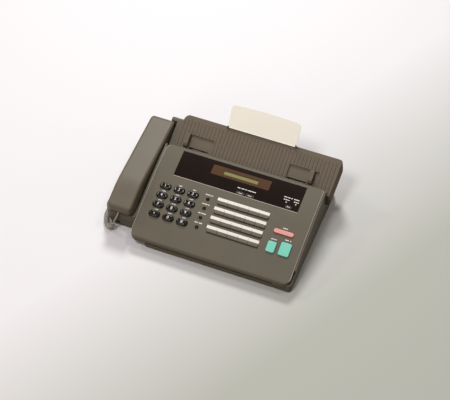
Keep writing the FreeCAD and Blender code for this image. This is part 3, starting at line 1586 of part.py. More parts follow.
def build():
    nodes = {
        "handset_cord": handset_cord(),
        "cord_plug": cord_plug(),
        "lower_case": lower_case(),
        "feet": feet(),
        "rest_cover": rest_cover(),
        "chassis": chassis(),
        "thermal_head": thermal_head(),
        "image_sensor": image_sensor(),
        "main_board": main_board(),
        "power_supply": power_supply(),
        "speaker": speaker(),
        "modular_sockets": modular_sockets(),
        "mains_inlet": mains_inlet(),
        "drive_motor": drive_motor(),
        "motor_pinion": motor_pinion(),
        "feed_shaft": feed_shaft(),
        "feed_rollers": feed_rollers(),
        "feed_gear": feed_gear(),
        "platen_shaft": platen_shaft(),
        "platen_roller": platen_roller(),
        "platen_gear": platen_gear(),
        "paper_roll": paper_roll(),
        "panel_cover": panel_cover(),
        "panel_underside": panel_underside(),
        "panel_board": panel_board(),
        "display_film": display_film(),
        "lcd_module": lcd_module(),
        "label_strips": label_strips(),
        "separator_pad": separator_pad(),
        "tray_cover": tray_cover(),
        "document_guide_left": document_guide(0),
        "document_guide_right": document_guide(1),
        "guide_pinion": guide_pinion(),
        "support_plate": support_plate(),
        "hook_switch": hook_switch(),
        "handset_back": handset_back(),
        "handset_face": handset_face(),
    }
    nodes.update(dial_keys())
    nodes.update(function_keys())
    nodes.update(rapid_rows())
    nodes.update(command_keys())
    return nodes


def centre_of(nodes):
    bound = FreeCAD.BoundBox()
    for name, shape in nodes.items():
        if not name.startswith("handset_cord") and not name.startswith("cord_plug"):
            bound.add(shape.BoundBox)
    return V(-0.5 * (bound.XMin + bound.XMax), -0.5 * (bound.YMin + bound.YMax), -bound.ZMin)


def main():
    os.makedirs("parts", exist_ok=True)
    nodes = build()
    shift = centre_of(nodes)
    print("origin shift %.3f %.3f %.3f" % (shift.x, shift.y, shift.z))
    for name, shape in nodes.items():
        if not shape.isValid():
            print("not valid:", name)
        print("%s solids %d volume %.1f" % (name, len(shape.Solids), shape.Volume))
        shape.translate(shift)
        shape.exportStep("parts/%s.step" % name)


main()
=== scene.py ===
import math

import bpy
import numpy as np
from mathutils import Matrix, Vector


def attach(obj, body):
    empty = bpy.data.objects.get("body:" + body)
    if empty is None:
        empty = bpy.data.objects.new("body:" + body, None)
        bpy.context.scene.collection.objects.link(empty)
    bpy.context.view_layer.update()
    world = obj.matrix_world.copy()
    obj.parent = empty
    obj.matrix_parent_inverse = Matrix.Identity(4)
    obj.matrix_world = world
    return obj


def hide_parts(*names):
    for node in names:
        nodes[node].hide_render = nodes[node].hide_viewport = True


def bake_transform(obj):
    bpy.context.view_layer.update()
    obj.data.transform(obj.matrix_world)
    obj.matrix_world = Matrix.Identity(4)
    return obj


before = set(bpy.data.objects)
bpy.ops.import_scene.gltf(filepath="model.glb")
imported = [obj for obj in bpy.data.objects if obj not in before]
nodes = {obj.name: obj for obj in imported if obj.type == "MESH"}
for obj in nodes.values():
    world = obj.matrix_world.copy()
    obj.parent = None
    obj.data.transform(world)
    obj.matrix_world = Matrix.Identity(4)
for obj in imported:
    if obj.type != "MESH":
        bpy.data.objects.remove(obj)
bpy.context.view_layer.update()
scene = bpy.context.scene
print("frame loaded:", len(nodes), "nodes")

# layout to frame: the layout starts at the front right corner of the case, in millimetres
layout = {"shiftX": 164.5, "shiftY": -123.962, "metresPerMm": 0.001}
# panel arc from front to back, in layout millimetres
panelArc = {"front": (-3.3, 25.1), "back": (167.8, 72.9), "crown": 4.7}


def toFrame(points):
    # layout millimetres to frame metres
    return (np.asarray(points, float) + [layout["shiftX"], layout["shiftY"], 0.0]) * layout["metresPerMm"]


def arcSolve():
    # circle through both ends whose rise over the chord is the crown
    a, b = np.array(panelArc["front"]), np.array(panelArc["back"])
    chord = b - a
    length = np.hypot(*chord)
    radius = length ** 2 / (8 * panelArc["crown"]) + panelArc["crown"] / 2
    down = np.array([chord[1], -chord[0]]) / length
    return (a + b) / 2 + down * (radius - panelArc["crown"]), radius


arcCentre, arcRadius = arcSolve()


def onPanel(x, y, lift):
    # point above the panel: along the arc's normal at y by lift
    x, y, lift = np.broadcast_arrays(*(np.asarray(v, float) for v in (x, y, lift)))
    angle = np.arcsin((arcCentre[0] - y) / arcRadius)
    r = arcRadius + lift
    return toFrame(np.stack([x, arcCentre[0] - r * np.sin(angle), arcCentre[1] + r * np.cos(angle)], -1))


def onKey(x, y, u, v, w):
    # flat local place (u right, v back, w up) on the tangent plane of the panel at (x, y)
    angle = math.asin((arcCentre[0] - y) / arcRadius)
    z = arcCentre[1] + math.sqrt(arcRadius ** 2 - (y - arcCentre[0]) ** 2)
    c, s = math.cos(angle), math.sin(angle)
    return toFrame(np.stack([x + u, y + v * c - w * s, z + v * s + w * c], -1))


def makePiece(name, verts, faces, material, smooth=False):
    mesh = bpy.data.meshes.new(name)
    mesh.from_pydata(np.asarray(verts).tolist(), [], [list(f) for f in faces])
    mesh.validate()
    mesh.update()
    piece = bpy.data.objects.new(name, mesh)
    scene.collection.objects.link(piece)
    mesh.materials.append(material)
    if smooth:
        mesh.polygons.foreach_set("use_smooth", np.ones(len(mesh.polygons), bool))
    return piece


def prismFaces(count, first=0):
    # closed prism: lower ring first, upper ring next
    low = np.arange(count) + first
    top = low + count
    nxt = np.roll(np.arange(count), -1)
    walls = np.stack([low, low[nxt], top[nxt], top], 1)
    return [low[::-1].tolist(), top.tolist()] + walls.tolist()


# shortest straight side left between two corners of a rounded rectangle, as half a length
leastSide = 1e-4


def roundedRect(width, depth, radius, steps=6):
    # outline of a rectangle whose four corners are quarter circles
    radius = min(radius, width / 2 - leastSide, depth / 2 - leastSide)
    turn = np.linspace(0, np.pi / 2, steps)
    quarter = np.arange(4)[:, None] * np.pi / 2 + turn
    signX, signY = np.array([1, -1, -1, 1]), np.array([1, 1, -1, -1])
    x = signX[:, None] * (width / 2 - radius) + radius * np.cos(quarter)
    y = signY[:, None] * (depth / 2 - radius) + radius * np.sin(quarter)
    return np.stack([x.ravel(), y.ravel()], 1)


def slabs(name, outlines, low, high, material, place):
    # thin closed prisms on the panel, one for each outline
    verts, faces, first = [], [], 0
    for line in outlines:
        count = len(line)
        verts += [place(line[:, 0], line[:, 1], low), place(line[:, 0], line[:, 1], high)]
        faces += prismFaces(count, first)
        first += 2 * count
    return makePiece(name, np.concatenate(verts), faces, material)


def newMaterial(name, colour, roughness, **extra):
    material = bpy.data.materials.new(name)
    material.use_nodes = True
    shader = material.node_tree.nodes["Principled BSDF"]
    shader.inputs["Base Color"].default_value = (*colour, 1)
    shader.inputs["Roughness"].default_value = roughness
    for key, value in extra.items():
        shader.inputs[key].default_value = value
    return material, material.node_tree, shader


# shared by all plain finishes: strength and detail of the grain, scale and contrast of the mottling
mould = {"bump": 0.6, "grainDetail": 3, "mottleScale": 26, "mottleDetail": 4, "mottleBand": (0.3, 0.7)}


def textured(name, colour, roughness, grain, grainDepth, mottle=0.06, roughSpread=0.08, **extra):
    # moulded plastic: fine spark texture as bump, slow mottling of colour, uneven gloss
    material, tree, shader = newMaterial(name, colour, roughness, **extra)
    nodesOf, link = tree.nodes, tree.links.new
    coords = nodesOf.new("ShaderNodeTexCoord")
    fine = nodesOf.new("ShaderNodeTexNoise")
    fine.inputs["Scale"].default_value = grain
    fine.inputs["Detail"].default_value = mould["grainDetail"]
    link(coords.outputs["Object"], fine.inputs["Vector"])
    bump = nodesOf.new("ShaderNodeBump")
    bump.inputs["Strength"].default_value = mould["bump"]
    bump.inputs["Distance"].default_value = grainDepth
    link(fine.outputs["Fac"], bump.inputs["Height"])
    link(bump.outputs["Normal"], shader.inputs["Normal"])
    slow = nodesOf.new("ShaderNodeTexNoise")
    slow.inputs["Scale"].default_value = mould["mottleScale"]
    slow.inputs["Detail"].default_value = mould["mottleDetail"]
    link(coords.outputs["Object"], slow.inputs["Vector"])
    ramp = nodesOf.new("ShaderNodeValToRGB")
    low, high = ramp.color_ramp.elements
    low.position, high.position = mould["mottleBand"]
    low.color = (*[c * (1 - mottle) for c in colour], 1)
    high.color = (*[min(1, c * (1 + mottle)) for c in colour], 1)
    link(slow.outputs["Fac"], ramp.inputs["Fac"])
    link(ramp.outputs["Color"], shader.inputs["Base Color"])
    spread = nodesOf.new("ShaderNodeMapRange")
    spread.inputs["To Min"].default_value = roughness - roughSpread
    spread.inputs["To Max"].default_value = min(1, roughness + roughSpread)
    link(slow.outputs["Fac"], spread.inputs["Value"])
    link(spread.outputs["Result"], shader.inputs["Roughness"])
    return material


def gloss(level):
    return {"Specular IOR Level": level}


dull = gloss(0.3)
# colour, roughness, grain scale, grain depth in metres, then mottling, spread of roughness and other sockets
finish = {
    "case": textured("casePlastic", (0.099, 0.085, 0.059), 0.55, 1500, 0.00005, **dull),
    "tray": textured("trayPlastic", (0.112, 0.087, 0.060), 0.58, 1500, 0.00005, **dull),
    "handset": textured("handsetPlastic", (0.117, 0.099, 0.071), 0.48, 1700, 0.00003, **dull),
    "inner": textured("chassisPlastic", (0.03, 0.026, 0.022), 0.6, 900, 0.00005, **dull),
    "black": textured("socketPlastic", (0.012, 0.011, 0.011), 0.35, 900, 0.00002),
    "dial": textured("dialKeyPlastic", (0.006, 0.0045, 0.004), 0.2, 1200, 0.000003, 0.06, 0.03, **gloss(0.4)),
    "rapid": textured("rapidKeyPlastic", (0.118, 0.098, 0.071), 0.42, 1500, 0.00003, **dull),
    "teal": textured("tealKeyPlastic", (0.155, 0.53, 0.425), 0.42, 1500, 0.00002, 0.04),
    "salmon": textured("salmonKeyPlastic", (0.69, 0.275, 0.235), 0.42, 1500, 0.00002, 0.04),
    "film": textured("displayFilm", (0.0125, 0.0078, 0.0062), 0.22, 800, 0.000005, 0.1, 0.03, **gloss(0.08)),
    "lens": textured("displayLens", (0.082, 0.042, 0.023), 0.2, 600, 0.000004, 0.08, 0.03, **gloss(0.1)),
    "label": textured("labelPaper", (0.72, 0.68, 0.64), 0.6, 1200, 0.00002, 0.03, **dull),
    "paper": textured("thermalPaper", (0.86, 0.86, 0.84), 0.55, 700, 0.00002, 0.02),
    "cream": textured("supportPlate", (0.96, 0.935, 0.83), 0.35, 1200, 0.00003, 0.02),
    "white": textured("gearPlastic", (0.72, 0.72, 0.68), 0.45, 1000, 0.00002, 0.03),
    "rubber": textured("rubber", (0.025, 0.024, 0.023), 0.75, 700, 0.00006),
    "metal": textured("plainSteel", (0.5, 0.5, 0.51), 0.32, 500, 0.00002, 0.05, 0.06, **{"Metallic": 1.0}),
    "board": textured("circuitBoard", (0.03, 0.13, 0.05), 0.5, 400, 0.00005),
    "cord": textured("cordJacket", (0.36, 0.34, 0.28), 0.4, 1500, 0.00002),
    "clear": textured("plugPlastic", (0.62, 0.62, 0.58), 0.18, 600, 0.00001, 0.04),
    "print": textured("whitePrint", (0.62, 0.6, 0.55), 0.6, 900, 0.00001, 0.05),
    "legend": textured("keyLegend", (0.8, 0.78, 0.72), 0.5, 900, 0.00001, 0.05),
    "ink": textured("darkInk", (0.05, 0.045, 0.04), 0.6, 900, 0.00001, 0.05),
    "filmButton": textured("filmButton", (0.022, 0.015, 0.013), 0.35, 900, 0.00001, **dull),
    "filmLine": textured("filmLine", (0.16, 0.13, 0.115), 0.5, 900, 0.00001, **dull),
    "lamp": textured("lampLens", (0.5, 0.47, 0.42), 0.25, 600, 0.00001),
    # painted shade and a real seam: dark strips in front of the key bars stand for shade, the rest's parting line
    # is a seam
    "shadeAndSeam": textured("paintedShadeAndSeam", (0.035, 0.028, 0.021), 0.7, 900, 0.00001, **dull),
    # painted highlight: a pale strip along the film seat's front edge stands for light caught there
    "edge": textured("paintedEdgeHighlight", (0.4, 0.37, 0.32), 0.4, 900, 0.00001, **dull),
    # painted highlight: a paler rim stands for light caught on the panel's side edges
    "rim": textured("panelRimHighlight", (0.27, 0.245, 0.2), 0.4, 900, 0.00001, **dull),
}

# liquid crystal: yellow green glass with faint rows of character cells, sizes in metres
crystal = {"glass": (0.19, 0.194, 0.065), "roughness": 0.25, "Brick Width": 0.0031, "Row Height": 0.0046,
           "Mortar Size": 0.00025, "Color1": (0.172, 0.176, 0.059, 1), "Color2": (0.184, 0.187, 0.062, 1),
           "Mortar": (0.218, 0.216, 0.08, 1)}


def screenMaterial():
    material, tree, shader = newMaterial("displayScreen", crystal["glass"], crystal["roughness"])
    coords = tree.nodes.new("ShaderNodeTexCoord")
    cells = tree.nodes.new("ShaderNodeTexBrick")
    cells.offset = 0
    cells.inputs["Scale"].default_value = 1
    for key in ("Brick Width", "Row Height", "Mortar Size", "Color1", "Color2", "Mortar"):
        cells.inputs[key].default_value = crystal[key]
    tree.links.new(coords.outputs["Object"], cells.inputs["Vector"])
    tree.links.new(cells.outputs["Color"], shader.inputs["Base Color"])
    return material


finish["screen"] = screenMaterial()
dialNames = ["1", "2", "3", "4", "5", "6", "7", "8", "9", "star", "0", "hash"]

# which nodes each finish goes on
dressing = {
    "case": ["lower_case", "rest_cover", "panel_cover"],
    "tray": ["tray_cover", "document_guide_left", "document_guide_right"],
    "handset": ["handset_back", "handset_face"],
    "inner": ["chassis", "image_sensor", "speaker", "panel_underside"],
    "black": ["modular_sockets", "mains_inlet", "hook_switch"],
    "metal": ["thermal_head", "drive_motor", "motor_pinion", "feed_shaft", "platen_shaft"],
    "board": ["main_board", "power_supply", "panel_board"],
    "rubber": ["feet", "feed_rollers", "platen_roller", "separator_pad"],
    "white": ["feed_gear", "platen_gear", "guide_pinion"],
    "paper": ["paper_roll"],
    "film": ["display_film"],
    "lens": ["lcd_module"],
    "label": ["label_strips"],
    "cream": ["support_plate"],
    "clear": ["cord_plug"],
    "salmon": ["stop_key"],
    "teal": ["copy_key", "start_key"],
    "rapid": ["rapid_keys_row_%d" % i for i in range(1, 5)],
    "dial": ["dial_key_" + n for n in dialNames] + ["function_key_%d" % i for i in range(1, 5)],
}
for name, members in dressing.items():
    for member in members:
        nodes[member].data.materials.clear()
        nodes[member].data.materials.append(finish[name])
print("materials on", sum(len(m) for m in dressing.values()), "nodes")

# camera fitted to the photograph: angles in degrees, lengths in millimetres of the layout
cameraFit = {"azimuth": 21.789, "elevation": 51.814, "roll": -0.276, "distance": 2439.9,
             "target": (-158.86, 112.80, 40.0), "lens": 116.39, "sensor": 36, "clipEnd": 50}


def placeCamera(fit):
    az, el, roll = (math.radians(fit[k]) for k in ("azimuth", "elevation", "roll"))
    back = np.array([math.sin(az) * math.cos(el), -math.cos(az) * math.cos(el), math.sin(el)])
    right = np.array([math.cos(az), math.sin(az), 0.0])
    up = np.cross(back, right)
    turnedRight = math.cos(roll) * right + math.sin(roll) * up
    turnedUp = -math.sin(roll) * right + math.cos(roll) * up
    data = bpy.data.cameras.new("photoCamera")
    data.sensor_fit = "HORIZONTAL"
    data.sensor_width = fit["sensor"]
    data.lens = fit["lens"]
    data.clip_end = fit["clipEnd"]
    camera = bpy.data.objects.new("photoCamera", data)
    scene.collection.objects.link(camera)
    matrix = np.eye(4)
    matrix[:3, 0], matrix[:3, 1], matrix[:3, 2] = turnedRight, turnedUp, back
    matrix[:3, 3] = toFrame([fit["target"]])[0] + back * fit["distance"] * layout["metresPerMm"]
    camera.matrix_world = Matrix(matrix.tolist())
    scene.camera = camera


placeCamera(cameraFit)
print("camera placed")

# handset cord: route in layout millimetres, from the handset's chin round the rest to the side socket
cordRoute = {
    "points": [(-314.0, 24.0, 42.15), (-314.0, 19.8, 37.8), (-327.5, 8.0, 5.2), (-344.4, 31.4, 5.2),
               (-344.4, 56.0, 5.2), (-344.4, 140.0, 5.2), (-344.4, 168.0, 5.2), (-350.2, 186.0, 14.0),
               (-350.2, 196.0, 14.0), (-342.0, 196.0, 14.0)],
    "wire": 1.3, "curl": 3.5, "pitch": 3.5, "firstCurl": 19.0, "lastCurl": 40.0, "reference": (0.5, -0.3, 0.81),
    "sides": 10, "stepsPerCurl": 18, "straightSteps": 120, "resolution": 48, "samples": 6000,
    # curls that the radius takes to ease in, opening of the pitch there
    "easeCurls": 2.6, "openEnds": 2.2,
    # samples on either side that smooth the bend, and the largest share of the pitch that it takes
    "smooth": 60, "bendLimit": 0.6,
}


def curveMesh(curve):
    # corners and faces of a curve's evaluated mesh; the curve itself is removed
    holder = bpy.data.objects.new(curve.name, curve)
    scene.collection.objects.link(holder)
    bpy.context.view_layer.update()
    mesh = bpy.data.meshes.new_from_object(holder.evaluated_get(bpy.context.evaluated_depsgraph_get()))
    co = np.empty(len(mesh.vertices) * 3)
    mesh.vertices.foreach_get("co", co)
    corners = np.empty(len(mesh.loops), int)
    mesh.loops.foreach_get("vertex_index", corners)
    starts = np.empty(len(mesh.polygons), int)
    mesh.polygons.foreach_get("loop_start", starts)
    faces = [f.tolist() for f in np.split(corners, starts[1:])]
    bpy.data.objects.remove(holder)
    bpy.data.curves.remove(curve)
    bpy.data.meshes.remove(mesh)
    return co.reshape(-1, 3), faces


def splinePoints(points, resolution):
    # points of a quadratic NURBS curve that has the route's points as control points
    curve = bpy.data.curves.new("cordRouteLine", "CURVE")
    curve.dimensions = "3D"
    spline = curve.splines.new("NURBS")
    spline.points.add(len(points) - 1)
    spline.points.foreach_set("co", np.c_[points, np.ones(len(points))].ravel())
    spline.order_u = 3
    spline.use_endpoint_u = True
    spline.resolution_u = resolution
    return curveMesh(curve)[0]


def unit(v):
    return v / np.linalg.norm(v, axis=-1, keepdims=True)


def makeCord(route):
    line = splinePoints(np.array(route["points"]), route["resolution"])
    along = np.r_[0, np.cumsum(np.linalg.norm(np.diff(line, axis=0), axis=1))]
    s = np.linspace(0, along[-1], route["samples"])
    axis = np.stack([np.interp(s, along, line[:, i]) for i in range(3)], 1)
    heading = unit(np.gradient(axis, s, axis=0))
    side = unit(np.cross(heading, route["reference"]))
    other = np.cross(heading, side)
    # curls: radius eases in and out at the ends, pitch opens there and inside bends
    first, last = route["firstCurl"], along[-1] - route["lastCurl"]
    ramp = route["easeCurls"] * route["pitch"]
    rise = np.clip(np.minimum((s - first) / ramp, (last - s) / ramp), 0, 1)
    bend = np.linalg.norm(np.gradient(heading, s, axis=0), axis=1)
    window = 2 * route["smooth"] + 1
    bend = np.convolve(np.pad(bend, route["smooth"], mode="edge"), np.ones(window) / window, "valid")
    pitch = route["pitch"] * (1 + route["openEnds"] * (1 - rise))
    pitch = pitch / (1 - np.minimum(route["curl"] * bend, route["bendLimit"]))
    turning = np.where((s > first) & (s < last), 2 * np.pi / pitch, 0)
    phase = np.r_[0, np.cumsum(0.5 * (turning[1:] + turning[:-1]) * np.diff(s))]
    radius = route["curl"] * rise * rise * (3 - 2 * rise)
    radial = side * np.cos(phase)[:, None] + other * np.sin(phase)[:, None]
    wire = axis + radial * radius[:, None]
    # even steps along the curled wire
    walked = np.r_[0, np.cumsum(np.linalg.norm(np.diff(wire, axis=0), axis=1))]
    curls = phase[-1] / (2 * np.pi)
    count = int(curls * route["stepsPerCurl"]) + route["straightSteps"]
    at = np.linspace(0, walked[-1], count)
    path = np.stack([np.interp(at, walked, wire[:, i]) for i in range(3)], 1)
    out = np.stack([np.interp(at, walked, radial[:, i]) for i in range(3)], 1)
    along = unit(np.gradient(path, axis=0))
    normal = unit(out - along * np.sum(out * along, axis=1, keepdims=True))
    across = np.cross(along, normal)
    # tube: circle of the wire's radius carried along the path
    turn = np.arange(route["sides"]) * 2 * np.pi / route["sides"]
    ring = normal[:, None] * np.cos(turn)[:, None] + across[:, None] * np.sin(turn)[:, None]
    verts = (path[:, None] + ring * route["wire"]).reshape(-1, 3)
    n = route["sides"]
    base = (np.arange(count - 1) * n)[:, None] + np.arange(n)
    nxt = (np.arange(count - 1) * n)[:, None] + np.roll(np.arange(n), -1)
    quads = np.stack([base, nxt, nxt + n, base + n], -1).reshape(-1, 4)
    faces = quads.tolist() + [list(range(n - 1, -1, -1)), list(range((count - 1) * n, count * n))]
    cord = makePiece("curlyCord", toFrame(verts), faces, finish["cord"], smooth=True)
    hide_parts("handset_cord")
    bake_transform(cord)


makeCord(cordRoute)

# key legends: plain digits on the dial keys
dialKeys = {"marks": "123456789*0#", "columns": 3, "rows": 4, "x": -257.1, "y": 91.7, "pitchX": 24.7,
            "pitchY": 16.65, "height": 4.13, "size": 7.0, "thick": 0.08, "curveSteps": 3}
# rolled tops of the dial keys: flat in the middle, falling away to both ends
dialTop = {"half": 4.5, "radius": 4.0, "flat": 3.2, "seat": 2.7, "rise": 1.4, "blunt": 0.13, "roll": 0.04,
           "edge": 14, "columns": 35, "rows": 17}


def glyph(text, size, thick, steps):
    # flat outline of a sign made a closed mesh, centred on its own middle
    curve = bpy.data.curves.new("glyph", "FONT")
    curve.body = text
    curve.size = size
    curve.extrude = thick / 2
    curve.resolution_u = steps
    co, faces = curveMesh(curve)
    middle = (co.min(0) + co.max(0)) / 2
    return co - [middle[0], middle[1], 0], faces


def rolledTop(p):
    # w = seat + (rise - roll * (|u| - flat)^2) * sqrt(1 - t^edge), t = share of the half depth of the pill
    u = np.linspace(-1, 1, p["columns"]) * (p["half"] + p["radius"] - p["blunt"])
    t = np.sin(np.linspace(-np.pi / 2, np.pi / 2, p["rows"]))
    over = np.maximum(np.abs(u) - p["half"], 0)
    depth = np.sqrt(p["radius"] ** 2 - over ** 2)
    fall = p["roll"] * np.maximum(np.abs(u) - p["flat"], 0) ** 2
    w = p["seat"] + (p["rise"] - fall)[:, None] * np.sqrt(np.maximum(1 - t ** p["edge"], 0))
    grid = np.stack([np.repeat(u[:, None], len(t), 1), depth[:, None] * t, w], -1).reshape(-1, 3)
    index = np.arange(len(grid)).reshape(len(u), len(t))
    quads = np.stack([index[:-1, :-1], index[1:, :-1], index[1:, 1:], index[:-1, 1:]], -1)
    under = np.r_[index[:, -1], index[::-1, 0]].tolist()
    return grid, quads.reshape(-1, 4).tolist() + [index[0].tolist(), index[-1, ::-1].tolist(), under]


topGrid, topFaces = rolledTop(dialTop)
for i, (name, mark) in enumerate(zip(dialNames, dialKeys["marks"])):
    x = dialKeys["x"] + (i % dialKeys["columns"]) * dialKeys["pitchX"]
    y = dialKeys["y"] - (i // dialKeys["columns"]) * dialKeys["pitchY"]
    top = makePiece("keyTop_" + name, onKey(x, y, *topGrid.T), topFaces, finish["dial"], smooth=True)
    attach(top, "dial_key_%s_body" % name)
    co, faces = glyph(mark, dialKeys["size"], dialKeys["thick"], dialKeys["curveSteps"])
    legend = makePiece("legend_" + name, onKey(x, y, co[:, 0], co[:, 1], co[:, 2] + dialKeys["height"]), faces,
                       finish["legend"])
    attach(legend, "dial_key_%s_body" % name)
print("key legends done")

# printed captions: rows of short dashes; places are (x, y, width)
captions = {"height": 1.7, "filmHeight": 1.5, "buttonHeight": 1.1, "lift": 0.03, "sink": -0.02, "seed": 7,
            "wordLength": 3.2, "cutBand": (0.12, 0.88), "leastDash": 0.9, "space": 0.5, "corner": 0.3,
            "functionX": -181.2, "functionShift": 7.6, "functionWidth": 14.0, "dialShift": 8.1, "dialWidth": 7.0,
            "commands": [(-40.3, 83.0, 9.0), (-52.0, 60.6, 10.0), (-29.0, 65.2, 11.0)],
            "film": [(-125.5, 127.2, 33.0), (-134.0, 118.4, 8.0), (-117.0, 118.4, 8.0), (-49.0, 136.2, 27.0),
                     (-56.5, 131.6, 11.0), (-39.5, 131.6, 9.0), (-49.4, 120.0, 6.0)],
            "buttonsBelow": 121}
dialRowsY = [dialKeys["y"] - dialKeys["pitchY"] * r for r in range(dialKeys["rows"])]
captionPlaces = [(captions["functionX"], y + captions["functionShift"], captions["functionWidth"])
                 for y in dialRowsY]
captionPlaces += [(dialKeys["x"] + dialKeys["pitchX"] * c, y + captions["dialShift"], captions["dialWidth"])
                  for r, y in enumerate(dialRowsY) for c in range(dialKeys["columns"]) if (r, c) != (0, 0)]
captionPlaces += captions["commands"]


def dashes(places, height, rng):
    # each caption is a row of dashes of uneven width
    lines = []
    for x, y, width in places:
        words = max(1, int(width / captions["wordLength"]))
        cuts = np.sort(rng.uniform(*captions["cutBand"], words)) * width
        edges = np.r_[0, cuts, width]
        for a, b in zip(edges[:-1], edges[1:]):
            if b - a > captions["leastDash"]:
                dash = roundedRect(b - a - captions["space"], height, captions["corner"], steps=3)
                lines.append(dash + [x - width / 2 + (a + b) / 2, y])
    return lines


rng = np.random.default_rng(captions["seed"])
panelDashes = dashes(captionPlaces, captions["height"], rng)
panelPrint = slabs("panelPrint", panelDashes, captions["sink"], captions["lift"], finish["print"], onPanel)
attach(panelPrint, "panel")
filmDashes = dashes(captions["film"], captions["filmHeight"], rng)
filmPrint = slabs("filmPrint", filmDashes, captions["sink"], captions["lift"], finish["print"], onPanel)
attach(filmPrint, "panel")

# membrane buttons and lamps on the display film; buttons are (x, y, width, depth), heights are (low, high)
filmButtons = {"places": [(-134.0, 118.4, 14.5, 5.4), (-117.0, 118.4, 14.5, 5.4), (-49.4, 120.0, 10.6, 5.0)],
               "rim": 0.35, "lamps": [(-55.7, 127.2), (-39.2, 127.7)], "lampRadius": 1.2,
               "rimHeights": (-0.02, 0.1), "capHeights": (0.05, 0.22), "lampHeights": (-0.02, 0.25),
               "printHeights": (0.2, 0.26)}
rimLines = [roundedRect(w, d, d / 2) + [x, y] for x, y, w, d in filmButtons["places"]]
capLines = [roundedRect(w - 2 * filmButtons["rim"], d - 2 * filmButtons["rim"], d / 2) + [x, y]
            for x, y, w, d in filmButtons["places"]]
lampSize = 2 * filmButtons["lampRadius"]
lampLines = [roundedRect(lampSize, lampSize, lampSize / 2) + list(p) for p in filmButtons["lamps"]]
printPlaces = [p for p in captions["film"] if p[1] < captions["buttonsBelow"]]
printDashes = dashes(printPlaces, captions["buttonHeight"], rng)
buttonRims = slabs("filmButtonRims", rimLines, *filmButtons["rimHeights"], finish["filmLine"], onPanel)
buttonCaps = slabs("filmButtonCaps", capLines, *filmButtons["capHeights"], finish["filmButton"], onPanel)
lamps = slabs("filmLamps", lampLines, *filmButtons["lampHeights"], finish["lamp"], onPanel)
buttonPrint = slabs("filmButtonPrint", printDashes, *filmButtons["printHeights"], finish["print"], onPanel)
for piece in (buttonRims, buttonCaps, lamps, buttonPrint):
    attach(piece, "panel")

# display screen in the lens
screen = {"x": (-173.5, -112.3), "y": (142.3, 149.3), "lift": (-1.45, -1.3), "corner": 0.4}
screenLine = roundedRect(np.ptp(screen["x"]), np.ptp(screen["y"]), screen["corner"])
screenLine = screenLine + [np.mean(screen["x"]), np.mean(screen["y"])]
glass = slabs("displayScreen", [screenLine], *screen["lift"], finish["screen"], onPanel)
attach(glass, "panel")
print("film pieces done")

# label divisions, painted shade in front of each key bar and a painted highlight along the front edge of the
# film's seat
strips = {"x": (-165.5, -73.5), "rowY": 91.4, "rowPitch": 16.6, "rows": 4, "cells": 5, "labelShift": 6.6,
          "tick": (0.55, 2.3, 0.1), "tickShift": -0.7, "tickHeights": (-0.02, 0.04),
          "barX": (-163.5, -72.7), "shadeDepth": 1.2, "shadeShift": -3.5, "shadeCorner": 0.5,
          "shadeHeights": (-0.02, 0.03),
          "filmX": (-253.0, -31.5), "filmFront": 115.3, "edge": 0.75, "edgeGap": 0.1, "edgeCorner": 0.3,
          "edgeHeights": (-0.02, 0.1)}
rowsY = strips["rowY"] - strips["rowPitch"] * np.arange(strips["rows"])
tickX = np.linspace(*strips["x"], strips["cells"] + 1)[1:-1]
tickLines = [roundedRect(*strips["tick"], steps=2) + [x, y + strips["labelShift"] + strips["tickShift"]]
             for y in rowsY for x in tickX]
barShadeLine = roundedRect(np.ptp(strips["barX"]), strips["shadeDepth"], strips["shadeCorner"], steps=3)
barShadeLines = [barShadeLine + [np.mean(strips["barX"]), y + strips["shadeShift"]] for y in rowsY]
edgeY = strips["filmFront"] - strips["edge"] / 2 - strips["edgeGap"]
edgeLine = roundedRect(np.ptp(strips["filmX"]), strips["edge"], strips["edgeCorner"], steps=3)
edgeLine = edgeLine + [np.mean(strips["filmX"]), edgeY]
ticks = slabs("labelTicks", tickLines, *strips["tickHeights"], finish["ink"], onPanel)
# dark strips painted in front of each key bar stand for the shade there
steps = slabs("barPaintedShade", barShadeLines, *strips["shadeHeights"], finish["shadeAndSeam"], onPanel)
# painted highlight along the film's front edge
filmEdge = slabs("filmEdge", [edgeLine], *strips["edgeHeights"], finish["edge"], onPanel)
for piece, slot in ((ticks, "keys"), (steps, "keys"), (filmEdge, "case")):
    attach(piece, "panel")

# painted highlight: a paler rim along both side edges of the panel stands for light caught there; an edge is (x,
# side, back corner)
rimHighlightSet = {"edges": {"left": (-284.6, -1, 11.0), "right": (-2.9, 1, 6.0)}, "front": panelArc["front"][0],
          "back": panelArc["back"][0], "frontCorner": 13.0, "clearFront": 6.5, "backTurn": 1.0, "wide": 1.0,
          "proud": 0.05, "deep": 0.4, "steps": 8, "along": 48}


def ribbonFaces(count, flip):
    # 4 corners per station: quads between stations and a cap at either end
    first = (np.arange(count - 1) * 4)[:, None]
    here, nxt = first + np.arange(4), first + np.roll(np.arange(4), -1)
    quads = np.stack([here, here + 4, nxt + 4, nxt], -1).reshape(-1, 4)
    last = 4 * (count - 1)
    faces = quads.tolist() + [[0, 1, 2, 3], [last + 3, last + 2, last + 1, last]]
    return [f[::-1] for f in faces] if flip else faces


